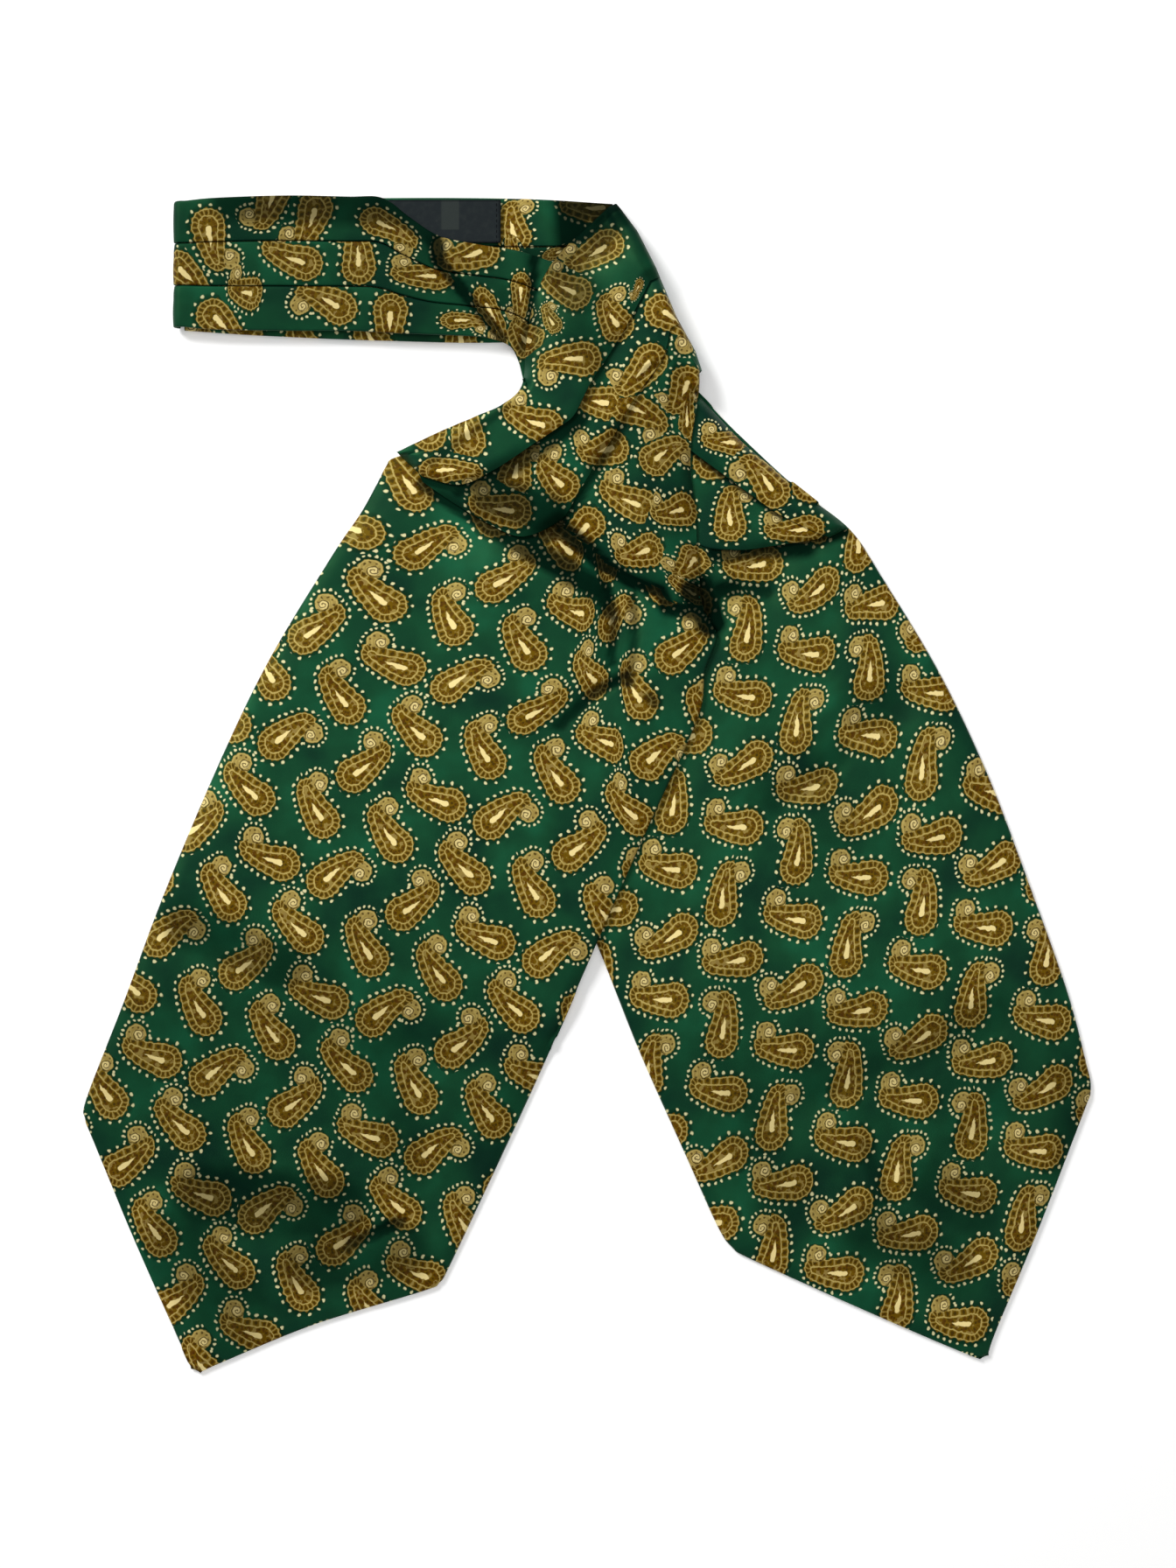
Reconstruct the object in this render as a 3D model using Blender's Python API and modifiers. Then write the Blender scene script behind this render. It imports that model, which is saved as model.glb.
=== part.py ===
"""A silk day cravat laid flat, with its neckband in a flat loop to the left of the throat.

Two pointed blades, each a flat tube of two panels, hang from a neckband that is pressed into three
knife pleats. The band goes left over itself, comes back and turns over along a diagonal fold, and
from there its pleats open out over the blades.

All sizes are in millimetres, and MM turns them into metres. X is to the right, Y towards the
neckband and Z up. The origin is under the middle of the cravat, on the surface that it lies on.
Pieces are laid one on the other: a height map keeps the level of what is already there.
"""

import math
from collections import namedtuple

import bpy
import numpy as np

MM = 0.001

# Cloth
WALL = 1.0  # thickness of a panel's wall
GAP = 0.3  # clearance between pieces that touch
PITCH = WALL + GAP  # height from one folded layer to the next

# Height map
MAP_STEP = 2.0
MAP_HALF_WIDTH = 220.0
MAP_HALF_LENGTH = 250.0
DOTS_A_STEP = 2.5  # points of a laid piece for each step of the map
BRIDGE = 6.0  # how far cloth stays level past the edge that it lies on
SOFTEN = 6.0  # how far it then takes to come down

# Neckband
PLEATS = 3
HIDDEN_SHARE = 0.63  # part of each pleat's face that has folded cloth under it
HEM = 4.5  # how far the band's upper edge is turned in under its first pleat
PLEAT_RISE = 0.4  # how far past one pleat's edge the next pleat starts to rise
TURN_LIP = 4.0  # how far a turned edge reaches in over the cloth
TURN_CLEAR = TURN_LIP + GAP
TURN_LEVEL = 2  # points of a turned edge, each way, over which it levels itself

# Blades. Each is set out from its tip: up its middle line, then out to each edge.
Blade = namedtuple("Blade", "tip_x tip_y lean")
LEFT = Blade(-155.1, -232.5, 24.8)
RIGHT = Blade(157.0, -227.0, -23.8)
PUFF = 1.5  # how far a front panel stands off the panel behind it
PUFF_EDGE = 14.0  # width over which it comes down at the edges

Section = namedtuple("Section", "up left right")
LEFT_SECTIONS = [
    Section(0.0, 2.0, 1.5),
    Section(8.0, 11.5, 8.5),
    Section(36.0, 43.5, 34.5),
    Section(66.0, 76.0, 68.0),
    Section(72.0, 82.0, 72.7),
    Section(80.0, 85.0, 73.6),
    Section(120.0, 87.5, 74.0),
    Section(165.0, 91.0, 74.0),
    Section(225.0, 93.0, 72.7),
    Section(270.0, 92.0, 72.0),
    Section(318.0, 86.5, 71.8),
    Section(336.0, 83.5, 66.5),
    Section(351.0, 82.5, 65.0),
    Section(357.0, 82.2, 56.5),
    Section(362.0, 80.0, 53.0),
    Section(375.0, 62.0, 45.5),
    Section(390.0, 42.0, 37.5),
    Section(411.0, 20.0, 25.5),
    Section(434.0, 4.0, 16.5),
]
LEFT_BACK_TOP = 362.0  # the back panel ends here, under the throat
RIGHT_SECTIONS = [
    Section(0.0, 1.5, 1.5),
    Section(8.0, 10.0, 9.0),
    Section(36.0, 36.0, 38.5),
    Section(72.0, 68.4, 74.5),
    Section(80.0, 73.9, 81.5),
    Section(90.0, 75.8, 84.0),
    Section(120.0, 76.0, 88.7),
    Section(165.0, 76.2, 92.0),
    Section(210.0, 74.5, 94.4),
    Section(255.0, 74.0, 93.2),
    Section(300.0, 74.0, 87.5),
    Section(322.0, 62.0, 83.5),
    Section(345.0, 46.0, 71.0),
    Section(375.0, 28.0, 58.0),
    Section(396.0, 17.0, 50.0),
    Section(412.0, 12.0, 42.0),
]

# Stretches set out by rungs, each from its left or upper end to its right or lower end.
Rung = namedtuple("Rung", "x_a y_a x_b y_b")
LEFT_THROAT = Rung(29.1, 186.0, 39.3, 165.8)  # the left blade's last row, beside the diagonal
BAND_BACK = [
    Rung(-161.5, 228.0, -161.5, 179.5),
    Rung(-129.5, 231.0, -129.5, 177.5),
    Rung(-77.5, 232.2, -81.0, 175.5),
    Rung(-25.5, 231.8, -29.0, 175.0),
    Rung(8.0, 230.0, 33.0, 180.3),
]
BAND_FRONT = [
    Rung(-159.4, 230.5, -159.4, 180.5),
    Rung(-147.0, 231.7, -147.0, 179.5),
    Rung(-119.0, 232.6, -119.0, 179.0),
    Rung(-94.5, 232.1, -96.0, 179.0),
    Rung(-81.0, 231.5, -84.5, 178.5),
    Rung(-70.5, 224.0, -75.5, 178.0),
    Rung(-58.5, 216.5, -63.5, 177.5),
    Rung(-42.5, 213.0, -49.5, 177.0),
    Rung(-29.5, 211.0, -38.5, 176.0),
    Rung(-17.5, 207.5, -31.0, 173.0),
    Rung(-3.0, 202.0, -27.5, 167.0),
    Rung(12.0, 191.5, -25.5, 159.5),
    Rung(22.0, 179.5, -23.0, 153.5),
    Rung(27.0, 169.5, -21.5, 148.5),
]
LEFT_PLEAT_OUTER = [
    Rung(7.6, 227.5, 24.5, 197.8),
    Rung(-0.5, 220.0, 20.0, 189.0),
    Rung(-11.5, 209.5, 13.5, 177.0),
    Rung(-20.5, 193.0, 7.0, 166.5),
    Rung(-24.5, 173.5, 0.5, 156.5),
    Rung(-26.0, 157.0, -5.5, 145.0),
    Rung(-33.5, 149.5, -12.0, 140.0),
    Rung(-45.0, 144.5, -22.5, 133.0),
    Rung(-57.0, 139.5, -36.5, 124.0),
    Rung(-68.0, 134.5, -50.5, 118.0),
    Rung(-75.5, 131.0, -65.5, 121.5),
]
LEFT_PLEAT_INNER = [
    Rung(22.0, 201.2, 32.5, 179.2),
    Rung(11.0, 187.0, 30.0, 169.0),
    Rung(3.0, 175.0, 25.0, 161.0),
    Rung(-5.0, 163.0, 17.5, 150.5),
    Rung(-13.0, 152.0, 11.0, 138.5),
    Rung(-23.0, 143.0, 3.0, 126.0),
    Rung(-31.0, 137.0, -4.0, 114.5),
    Rung(-38.0, 133.0, -10.5, 104.5),
    Rung(-46.0, 130.5, -25.5, 97.5),
    Rung(-54.0, 128.5, -39.0, 102.5),
    Rung(-62.0, 127.5, -53.0, 111.0),
    Rung(-69.0, 127.5, -65.5, 119.5),
]
RIGHT_PLEAT_OUTER = [
    Rung(34.5, 137.0, 44.5, 153.0),
    Rung(41.5, 131.0, 52.8, 144.0),
    Rung(51.0, 124.0, 62.0, 134.5),
    Rung(64.0, 114.5, 75.5, 123.3),
    Rung(76.5, 106.0, 88.5, 113.0),
    Rung(89.0, 100.0, 98.0, 105.5),
    Rung(97.0, 97.0, 104.5, 100.5),
]
RIGHT_PLEAT_INNER = [
    Rung(28.0, 117.0, 41.5, 137.0),
    Rung(42.0, 96.0, 60.0, 121.0),
    Rung(58.0, 92.5, 73.0, 112.5),
    Rung(75.0, 94.5, 86.0, 103.5),
    Rung(91.0, 97.0, 97.0, 99.5),
]

# Turned folds, as the line along which the cloth comes round from below
Place = namedtuple("Place", "x y")
LOOP_END = [
    Place(-164.0, 230.5),
    Place(-164.6, 214.0),
    Place(-164.8, 197.0),
    Place(-164.3, 180.5),
]
DIAGONAL = [
    Place(45.0, 163.5),
    Place(42.5, 171.0),
    Place(35.0, 184.5),
    Place(27.3, 203.0),
    Place(19.3, 219.0),
    Place(11.0, 230.3),
]
Bend = namedtuple("Bend", "out up")  # outwards in mm, and share of the fold's height
TURN_PROFILE = [
    Bend(-TURN_LIP, 1.0),
    Bend(-2.4, 0.985),
    Bend(-1.0, 0.89),
    Bend(-0.25, 0.71),
    Bend(0.0, 0.48),
    Bend(-0.2, 0.24),
    Bend(-0.9, 0.0),
]

# Soft troughs and ridges in the front panels; a ridge has a negative depth
Fold = namedtuple("Fold", "x_a y_a x_b y_b depth half_width")
LEFT_FOLDS = [
    Fold(-15.0, 106.0, 9.5, 87.0, 3.2, 4.5),
    Fold(9.5, 87.0, 44.0, 68.0, 3.2, 5.0),
    Fold(-38.0, 88.0, 10.0, 66.0, -2.0, 8.0),
    Fold(11.0, 76.0, 14.0, 43.0, 2.6, 4.5),
    Fold(15.5, 42.0, -11.0, 23.5, 1.6, 5.0),
    Fold(24.0, 100.0, 40.0, 84.0, -2.0, 8.0),
    Fold(22.0, 72.0, 27.0, 48.0, -1.2, 6.0),
    Fold(-159.0, -65.0, -119.0, -57.0, 1.2, 9.0),
    Fold(-146.0, -162.0, -108.0, -167.0, 1.3, 9.0),
    Fold(-134.0, -206.0, -117.0, -210.0, 1.0, 7.0),
    Fold(-94.5, -182.0, -75.5, -173.0, 1.5, 6.0),
    Fold(-74.0, -103.0, -62.0, -112.0, 1.0, 7.0),
]
RIGHT_FOLDS = [
    Fold(70.0, 92.0, 99.0, 95.0, 1.6, 6.0),
    Fold(48.0, 71.0, 72.0, 77.0, 1.8, 6.0),
    Fold(75.0, -8.0, 100.0, 11.0, 1.4, 7.0),
    Fold(108.0, 27.0, 119.0, 31.0, 1.2, 8.0),
    Fold(86.0, -126.0, 124.0, -109.0, 1.2, 9.0),
    Fold(111.0, -144.0, 123.0, -187.0, 1.5, 6.0),
    Fold(150.0, -140.0, 166.0, -128.0, 1.1, 9.0),
]

# Label
LABEL_LEFT = -81.0
LABEL_RIGHT = -34.5
LABEL_TOP = 231.0
LABEL_BOTTOM = 214.0

# Mesh density
FRONT_STEP = 9.5  # length of a front panel's cells
FRONT_COLUMNS = 16
BACK_COLUMNS = 12
PLEAT_STEP = 7.0
PLEAT_COLUMNS = 7
BAND_STEP = 11.0
TURN_STEP = 5.0
FLAT_STEP = 60.0  # cells of a panel that lies on the surface itself

SILK = (0.008, 0.085, 0.045)
WOVEN = (0.018, 0.019, 0.026)


def clear_scene():
    for obj in list(bpy.data.objects):
        bpy.data.objects.remove(obj)


def silk_cravat_collection():
    collection = bpy.data.collections.new("silk_cravat")
    bpy.context.scene.collection.children.link(collection)
    return collection


def cloth_material(name, colour, roughness):
    material = bpy.data.materials.new(name)
    material.use_nodes = True
    shader = material.node_tree.nodes["Principled BSDF"]
    shader.inputs["Base Color"].default_value = (*colour, 1.0)
    shader.inputs["Roughness"].default_value = roughness
    shader.inputs["Metallic"].default_value = 0.0
    return material


def shifted_extreme(field, cells, pick):
    """pick, np.maximum say, over each point's neighbours within that many cells, both ways."""
    for axis in (0, 1):
        source = np.pad(field, cells, mode="edge")
        rows, columns = field.shape
        found = field.copy()
        for shift in range(2 * cells + 1):
            if axis == 0:
                window = source[shift : shift + rows, cells : cells + columns]
            else:
                window = source[cells : cells + rows, shift : shift + columns]
            found = pick(found, window)
        field = found
    return field


def blurred(field, cells):
    """The mean over a square of that many cells each way."""
    for axis in (0, 1):
        source = np.pad(field, cells, mode="edge")
        rows, columns = field.shape
        total = np.zeros_like(field)
        for shift in range(2 * cells + 1):
            if axis == 0:
                total += source[shift : shift + rows, cells : cells + columns]
            else:
                total += source[cells : cells + rows, shift : shift + columns]
        field = total / (2 * cells + 1)
    return field


class HeightMap:
    """The level of what has been laid so far, over the surface."""

    def __init__(self):
        columns = int(2 * MAP_HALF_WIDTH / MAP_STEP) + 1
        rows = int(2 * MAP_HALF_LENGTH / MAP_STEP) + 1
        self.top = np.zeros((rows, columns))

    def sample(self, field, x, y):
        """A field of the map's size, read between its points."""
        column = (np.asarray(x, float) + MAP_HALF_WIDTH) / MAP_STEP
        row = (np.asarray(y, float) + MAP_HALF_LENGTH) / MAP_STEP
        column_low = np.clip(column.astype(int), 0, field.shape[1] - 2)
        row_low = np.clip(row.astype(int), 0, field.shape[0] - 2)
        share_x = column - column_low
        share_y = row - row_low
        low = field[row_low, column_low] * (1 - share_x)
        low = low + field[row_low, column_low + 1] * share_x
        high = field[row_low + 1, column_low] * (1 - share_x)
        high = high + field[row_low + 1, column_low + 1] * share_x
        return low * (1 - share_y) + high * share_y

    def rest_level(self, x, y):
        """Where the underside of cloth lies: on the surface, or a gap above what is there."""
        reach = math.ceil((BRIDGE + SOFTEN) / MAP_STEP)
        soft = math.ceil(SOFTEN / MAP_STEP)
        spread = shifted_extreme(self.top, reach, np.maximum)
        level = self.sample(blurred(spread, soft), x, y)
        return level + np.clip(level, 0.0, GAP)

    def add(self, grid, rise=0.0):
        """Raises the map to a grid of points, an array of rows of x, y and z."""
        span = np.linalg.norm(np.diff(grid[..., :2], axis=0), axis=-1).max()
        span = max(span, np.linalg.norm(np.diff(grid[..., :2], axis=1), axis=-1).max())
        cuts = math.ceil(DOTS_A_STEP * span / MAP_STEP) + 1
        for share_a in np.linspace(0.0, 1.0, cuts):
            for share_b in np.linspace(0.0, 1.0, cuts):
                near = grid[:-1] * (1 - share_a) + grid[1:] * share_a
                dots = near[:, :-1] * (1 - share_b) + near[:, 1:] * share_b
                dots = dots.reshape(-1, 3)
                column = np.rint((dots[:, 0] + MAP_HALF_WIDTH) / MAP_STEP).astype(int)
                row = np.rint((dots[:, 1] + MAP_HALF_LENGTH) / MAP_STEP).astype(int)
                np.maximum.at(self.top, (row, column), dots[:, 2] + rise)


def blade_rungs(blade, sections):
    """A blade's sections as rungs, from its left edge to its right edge."""
    lean = math.radians(blade.lean)
    up = (math.sin(lean), math.cos(lean))
    rungs = []
    for row in sections:
        x = blade.tip_x + up[0] * row.up
        y = blade.tip_y + up[1] * row.up
        left = (x - up[1] * row.left, y + up[0] * row.left)
        right = (x + up[1] * row.right, y - up[0] * row.right)
        rungs.append(Rung(*left, *right))
    return rungs


def smooth_rungs(rungs, step):
    """Rungs no more than a step apart, on smooth curves through the given ones."""
    ends = np.array(rungs, float)
    middles = (ends[:, :2] + ends[:, 2:]) / 2
    ends = np.vstack([2 * ends[0] - ends[1], ends, 2 * ends[-1] - ends[-2]])
    made = []
    for index in range(len(rungs) - 1):
        before, start, end, after = ends[index : index + 4]
        length = np.linalg.norm(middles[index + 1] - middles[index])
        cuts = max(1, math.ceil(length / step))
        for share in np.arange(cuts) / cuts:
            square = share * share
            cube = square * share
            point = 2 * start + (end - before) * share
            point = point + (2 * before - 5 * start + 4 * end - after) * square
            point = point + (3 * start - before - 3 * end + after) * cube
            made.append(point / 2)
    made.append(ends[-2])
    return np.array(made)


def flat_grid(rungs, columns, step):
    """Points of the ground plan, rows of x, y and z, with z at 0."""
    rows = smooth_rungs(rungs, step)
    shares = np.linspace(0.0, 1.0, columns + 1)[None, :, None]
    plan = rows[:, None, :2] * (1 - shares) + rows[:, None, 2:] * shares
    return np.concatenate([plan, np.zeros_like(plan[..., :1])], axis=-1)


def make_cloth(name, grid, material, collection, centred=False):
    """An open surface given its wall by Solidify, below it or to both sides of it."""
    rows, columns = grid.shape[:2]
    faces = []
    for row in range(rows - 1):
        for column in range(columns - 1):
            corner = row * columns + column
            faces.append((corner, corner + 1, corner + columns + 1, corner + columns))
    mesh = bpy.data.meshes.new(name)
    mesh.from_pydata((grid.reshape(-1, 3) * MM).tolist(), [], faces)
    upwards = sum(polygon.normal.z * polygon.area for polygon in mesh.polygons)
    if upwards < 0:
        mesh.flip_normals()
    mesh.shade_smooth()
    mesh.materials.append(material)
    cloth = bpy.data.objects.new(name, mesh)
    collection.objects.link(cloth)
    wall = cloth.modifiers.new("wall", "SOLIDIFY")
    wall.thickness = WALL * MM
    wall.offset = 0.0 if centred else -1.0
    return cloth


def fold_relief(x, y, folds):
    """The rise of soft ridges, less the depth of soft troughs, fading past their ends."""
    relief = np.zeros_like(x)
    for fold in folds:
        along_x = fold.x_b - fold.x_a
        along_y = fold.y_b - fold.y_a
        length = math.hypot(along_x, along_y)
        along = ((x - fold.x_a) * along_x + (y - fold.y_a) * along_y) / length
        across = ((x - fold.x_a) * along_y - (y - fold.y_a) * along_x) / length
        past = np.maximum(np.maximum(-along, along - length), 0.0)
        away = (across**2 + past**2) / fold.half_width**2
        relief -= fold.depth * np.exp(-away)
    return relief


def edge_share(width, columns):
    """0 at a panel's two long edges, rising to 1 over PUFF_EDGE, for each row's width."""
    across = np.linspace(0.0, 1.0, columns) * width[:, None]
    inside = np.minimum(across, width[:, None] - across)
    share = np.clip(inside / PUFF_EDGE, 0.0, 1.0)
    return share * share * (3 - 2 * share)


def laid_back(name, rungs, step, laid, material, collection):
    """A back panel: plain cloth, flat on whatever it is laid on."""
    grid = flat_grid(rungs, BACK_COLUMNS, step)
    grid[..., 2] = laid.rest_level(grid[..., 0], grid[..., 1]) + WALL
    make_cloth(name, grid, material, collection)
    laid.add(grid)


def laid_front(name, rungs, folds, laid, material, collection):
    """A front panel: it stands a little off the one below, with the blade's main folds."""
    grid = flat_grid(rungs, FRONT_COLUMNS, FRONT_STEP)
    width = np.linalg.norm(grid[:, -1, :2] - grid[:, 0, :2], axis=-1)
    relief = PUFF + fold_relief(grid[..., 0], grid[..., 1], folds)
    loft = np.maximum(relief, 0.0) * edge_share(width, grid.shape[1])
    grid[..., 2] = laid.rest_level(grid[..., 0], grid[..., 1]) + WALL + loft
    make_cloth(name, grid, material, collection)
    laid.add(grid)


def laid_pleat(name, rungs, laid, material, collection):
    """A pleat that has opened to one layer, lying on the cloth below it."""
    grid = flat_grid(rungs, PLEAT_COLUMNS, PLEAT_STEP)
    grid[..., 2] = laid.rest_level(grid[..., 0], grid[..., 1]) + WALL
    make_cloth(name, grid, material, collection)
    laid.add(grid)


def half_turn(across, start, end, outwards):
    """The points round a fold from one level to another, bulging the way outwards says."""
    middle = (start + end) / 2
    half = (end - start) / 2
    points = []
    for degrees in (-90, -45, 0, 45, 90):
        angle = math.radians(degrees)
        reach = outwards * abs(half) * math.cos(angle)
        points.append((across + reach, middle + half * math.sin(angle)))
    return points


def knife_pleats(width):
    """The middle line of the pleated cloth in section, as (across, up), from edge to edge."""
    face = width / PLEATS
    hidden = HIDDEN_SHARE * face
    low = WALL / 2
    middle = low + PITCH
    high = middle + PITCH
    radius = PITCH / 2
    line = [(HEM, low)]
    line += half_turn(PITCH, low, high, -1)
    for pleat in range(PLEATS):
        edge = (pleat + 1) * face
        if pleat:
            line.append((edge - face + PLEAT_RISE, low))
            line.append((edge - hidden - radius, high))
        line += half_turn(edge - radius, high, middle, 1)
        line += half_turn(edge - hidden + radius, middle, low, -1)
    line.append((width - PITCH, low))
    return np.array(line)


def laid_band(name, rungs, step, laid, material, collection):
    """A pass of the neckband, folded into its knife pleats all along."""
    ends = smooth_rungs(rungs, step)
    rows = []
    for x_a, y_a, x_b, y_b in ends:
        width = math.hypot(x_b - x_a, y_b - y_a)
        line = knife_pleats(width)
        share = line[:, 0] / width
        x = x_a + (x_b - x_a) * share
        y = y_a + (y_b - y_a) * share
        rows.append(np.stack([x, y, line[:, 1] + laid.rest_level(x, y)], axis=-1))
    grid = np.array(rows)
    make_cloth(name, grid, material, collection, centred=True)
    laid.add(grid, rise=WALL / 2)


def turned_fold(name, line, laid, material, collection):
    """Cloth that comes round from below along a line, as high as what it lies beside.

    The line has the cloth on its left and the open surface on its right.
    """
    points = np.array(line, float)
    places = smooth_rungs(np.concatenate([points, points], axis=-1), TURN_STEP)[:, :2]
    heading = np.gradient(places, axis=0)
    heading /= np.linalg.norm(heading, axis=-1, keepdims=True)
    outwards = np.stack([heading[:, 1], -heading[:, 0]], axis=-1)
    beside = places - outwards * (TURN_CLEAR + MAP_STEP)
    height = laid.sample(shifted_extreme(laid.top, 1, np.maximum), beside[:, 0], beside[:, 1])
    window = 2 * TURN_LEVEL + 1
    height = np.convolve(np.pad(height, TURN_LEVEL, mode="edge"), np.ones(window) / window, "valid")
    rows = []
    for bend in TURN_PROFILE:
        plan = places + outwards * bend.out
        rows.append(np.concatenate([plan, height[:, None] * bend.up], axis=-1))
    make_cloth(name, np.array(rows), material, collection)


def woven_label(laid, material, collection):
    """The label, a flat piece of woven tape sewn to the band's first pleat."""
    rungs = [
        Rung(LABEL_LEFT, LABEL_TOP, LABEL_LEFT, LABEL_BOTTOM),
        Rung(LABEL_RIGHT, LABEL_TOP, LABEL_RIGHT, LABEL_BOTTOM),
    ]
    grid = flat_grid(rungs, 4, BAND_STEP)
    grid[..., 2] = laid.rest_level(grid[..., 0], grid[..., 1]) + WALL
    make_cloth("label", grid, material, collection)
    laid.add(grid)


clear_scene()
cravat = silk_cravat_collection()
laid = HeightMap()
silk = cloth_material("green silk twill", SILK, roughness=0.45)
woven = cloth_material("woven label", WOVEN, roughness=0.7)

left_rungs = blade_rungs(LEFT, LEFT_SECTIONS)
right_rungs = blade_rungs(RIGHT, RIGHT_SECTIONS)
left_back_rungs = blade_rungs(LEFT, [row for row in LEFT_SECTIONS if row.up <= LEFT_BACK_TOP])

laid_band("neckband_back", BAND_BACK, FLAT_STEP, laid, silk, cravat)
laid_back("blade_right_back", right_rungs, FLAT_STEP, laid, silk, cravat)
laid_front("blade_right_front", right_rungs, RIGHT_FOLDS, laid, silk, cravat)
laid_pleat("right_pleat_inner", RIGHT_PLEAT_INNER, laid, silk, cravat)
laid_pleat("right_pleat_outer", RIGHT_PLEAT_OUTER, laid, silk, cravat)
woven_label(laid, woven, cravat)
laid_band("neckband_front", BAND_FRONT, BAND_STEP, laid, silk, cravat)
turned_fold("neckband_turn", LOOP_END, laid, silk, cravat)
laid_back("blade_left_back", left_back_rungs, FRONT_STEP, laid, silk, cravat)
laid_front("blade_left_front", left_rungs + [LEFT_THROAT], LEFT_FOLDS, laid, silk, cravat)
laid_pleat("left_pleat_inner", LEFT_PLEAT_INNER, laid, silk, cravat)
laid_pleat("left_pleat_outer", LEFT_PLEAT_OUTER, laid, silk, cravat)
turned_fold("fold_turn", DIAGONAL, laid, silk, cravat)
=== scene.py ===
import math
from collections import namedtuple

import bpy
import numpy as np
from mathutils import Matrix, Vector
from mathutils.bvhtree import BVHTree


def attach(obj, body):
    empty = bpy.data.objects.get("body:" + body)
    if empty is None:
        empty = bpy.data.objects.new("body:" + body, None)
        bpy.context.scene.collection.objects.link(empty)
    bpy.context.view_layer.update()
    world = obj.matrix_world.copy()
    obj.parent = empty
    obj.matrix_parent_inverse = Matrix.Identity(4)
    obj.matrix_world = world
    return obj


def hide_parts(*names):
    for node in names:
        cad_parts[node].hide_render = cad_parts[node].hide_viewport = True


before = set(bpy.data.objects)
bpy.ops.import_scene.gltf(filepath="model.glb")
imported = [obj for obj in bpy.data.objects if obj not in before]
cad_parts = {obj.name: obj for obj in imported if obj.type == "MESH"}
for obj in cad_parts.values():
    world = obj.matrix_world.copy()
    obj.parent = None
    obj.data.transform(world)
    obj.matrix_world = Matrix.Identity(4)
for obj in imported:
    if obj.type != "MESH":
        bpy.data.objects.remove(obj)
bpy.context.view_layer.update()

# Table top and camera
# The cravat lies flat on a plain pale surface and is looked at from straight above, in soft
# light that comes mostly from the upper left.
MM = 0.001
VIEW_LENGTH = 622.0  # what the upright frame takes in, from its bottom to its top
LENS = 85.0
SENSOR = 36.0
FARTHEST = 100.0
FLOOR_HALF = 4000.0
FLOOR_DOWN = 0.2  # how far the table top lies below the cravat's underside
WHITE = (1.0, 1.0, 1.0, 1.0)
PALE = (0.93, 0.93, 0.925, 1.0)
ROOM_LIGHT = 0.3
Lamp = namedtuple("Lamp", "name x y z size watts")
LAMPS = [
    Lamp("key", -1.0, 1.1, 1.1, 0.6, 30.0),
    Lamp("fill", 1.6, -0.6, 1.8, 1.6, 4.0),
    Lamp("overhead", 0.0, 0.3, 2.0, 1.2, 9.0),
]


def added(name, data):
    """A new object in the scene, made of that mesh, camera or light."""
    made = bpy.data.objects.new(name, data)
    bpy.context.scene.collection.objects.link(made)
    return made


def new_finish(name, values):
    """A new material, and its shader with these values on its own sockets."""
    finish = bpy.data.materials.new(name)
    finish.use_nodes = True
    shader = finish.node_tree.nodes["Principled BSDF"]
    for socket, value in values.items():
        shader.inputs[socket].default_value = value
    return finish, shader


def table_top():
    half = FLOOR_HALF * MM
    corners = [(-half, -half), (half, -half), (half, half), (-half, half)]
    mesh = bpy.data.meshes.new("table_top")
    mesh.from_pydata([(*corner, -FLOOR_DOWN * MM) for corner in corners], [], [(0, 1, 2, 3)])
    paint, shader = new_finish("pale_table_top", {
        "Base Color": PALE,
        "Roughness": 0.9,
        "Specular IOR Level": 0.1,
        "Emission Color": WHITE,
        "Emission Strength": 0.2,
    })
    mesh.materials.append(paint)
    added("table_top", mesh)


def camera_above():
    lens = bpy.data.cameras.new("camera")
    lens.type = "PERSP"
    lens.lens = LENS
    lens.sensor_width = SENSOR
    lens.clip_end = FARTHEST
    camera = added("camera", lens)
    camera.location = (0.0, 0.0, VIEW_LENGTH * MM * LENS / SENSOR)
    bpy.context.scene.camera = camera


def soft_lights():
    for row in LAMPS:
        light = bpy.data.lights.new(row.name, "AREA")
        light.size = row.size
        light.energy = row.watts
        lamp = added(row.name, light)
        lamp.location = (row.x, row.y, row.z)
        lamp.rotation_mode = "QUATERNION"
        lamp.rotation_quaternion = lamp.location.to_track_quat("Z", "Y")
    bpy.context.scene.view_settings.view_transform = "Standard"
    world = bpy.data.worlds.new("studio")
    world.use_nodes = True
    room = world.node_tree.nodes["Background"]
    room.inputs["Color"].default_value = WHITE
    room.inputs["Strength"].default_value = ROOM_LIGHT
    bpy.context.scene.world = world


table_top()
camera_above()
soft_lights()

# Neckband, the pass that lies on the table
# The cravat's silk is pressed into three knife pleats at the neck. The pleats are caught down,
# and this pass runs from the loop's end to the diagonal fold at the throat.
CLOTH = 0.45  # thickness of the silk as modelled


def rows_of(kind, rows):
    return [kind(*row) for row in rows]


Rung = namedtuple("Rung", "x_a y_a x_b y_b")
LOWER_PASS = rows_of(Rung, [
    (-159.8, 228, -159.8, 179.5),
    (-129.5, 231, -129.5, 177.5),
    (-77.5, 232.2, -81, 175.5),
    (-25.5, 231.8, -29, 175),
    (9.6, 229.8, 33, 180.3),
])
PLEATS = 3
PLEAT_HIDDEN = 0.63  # part of each pleat's face that has folded cloth under it
PLEAT_LEVELS = 1.3  # height from one folded layer to the next
PLEAT_START = 0.15
PLEAT_LIP = 0.4  # how far from one pleat's edge the next pleat's face comes up to the light
PLEAT_SINK = 0.35  # how far it is below that edge there
BAND_STEP = 2.0
HEM = 4.5

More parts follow.
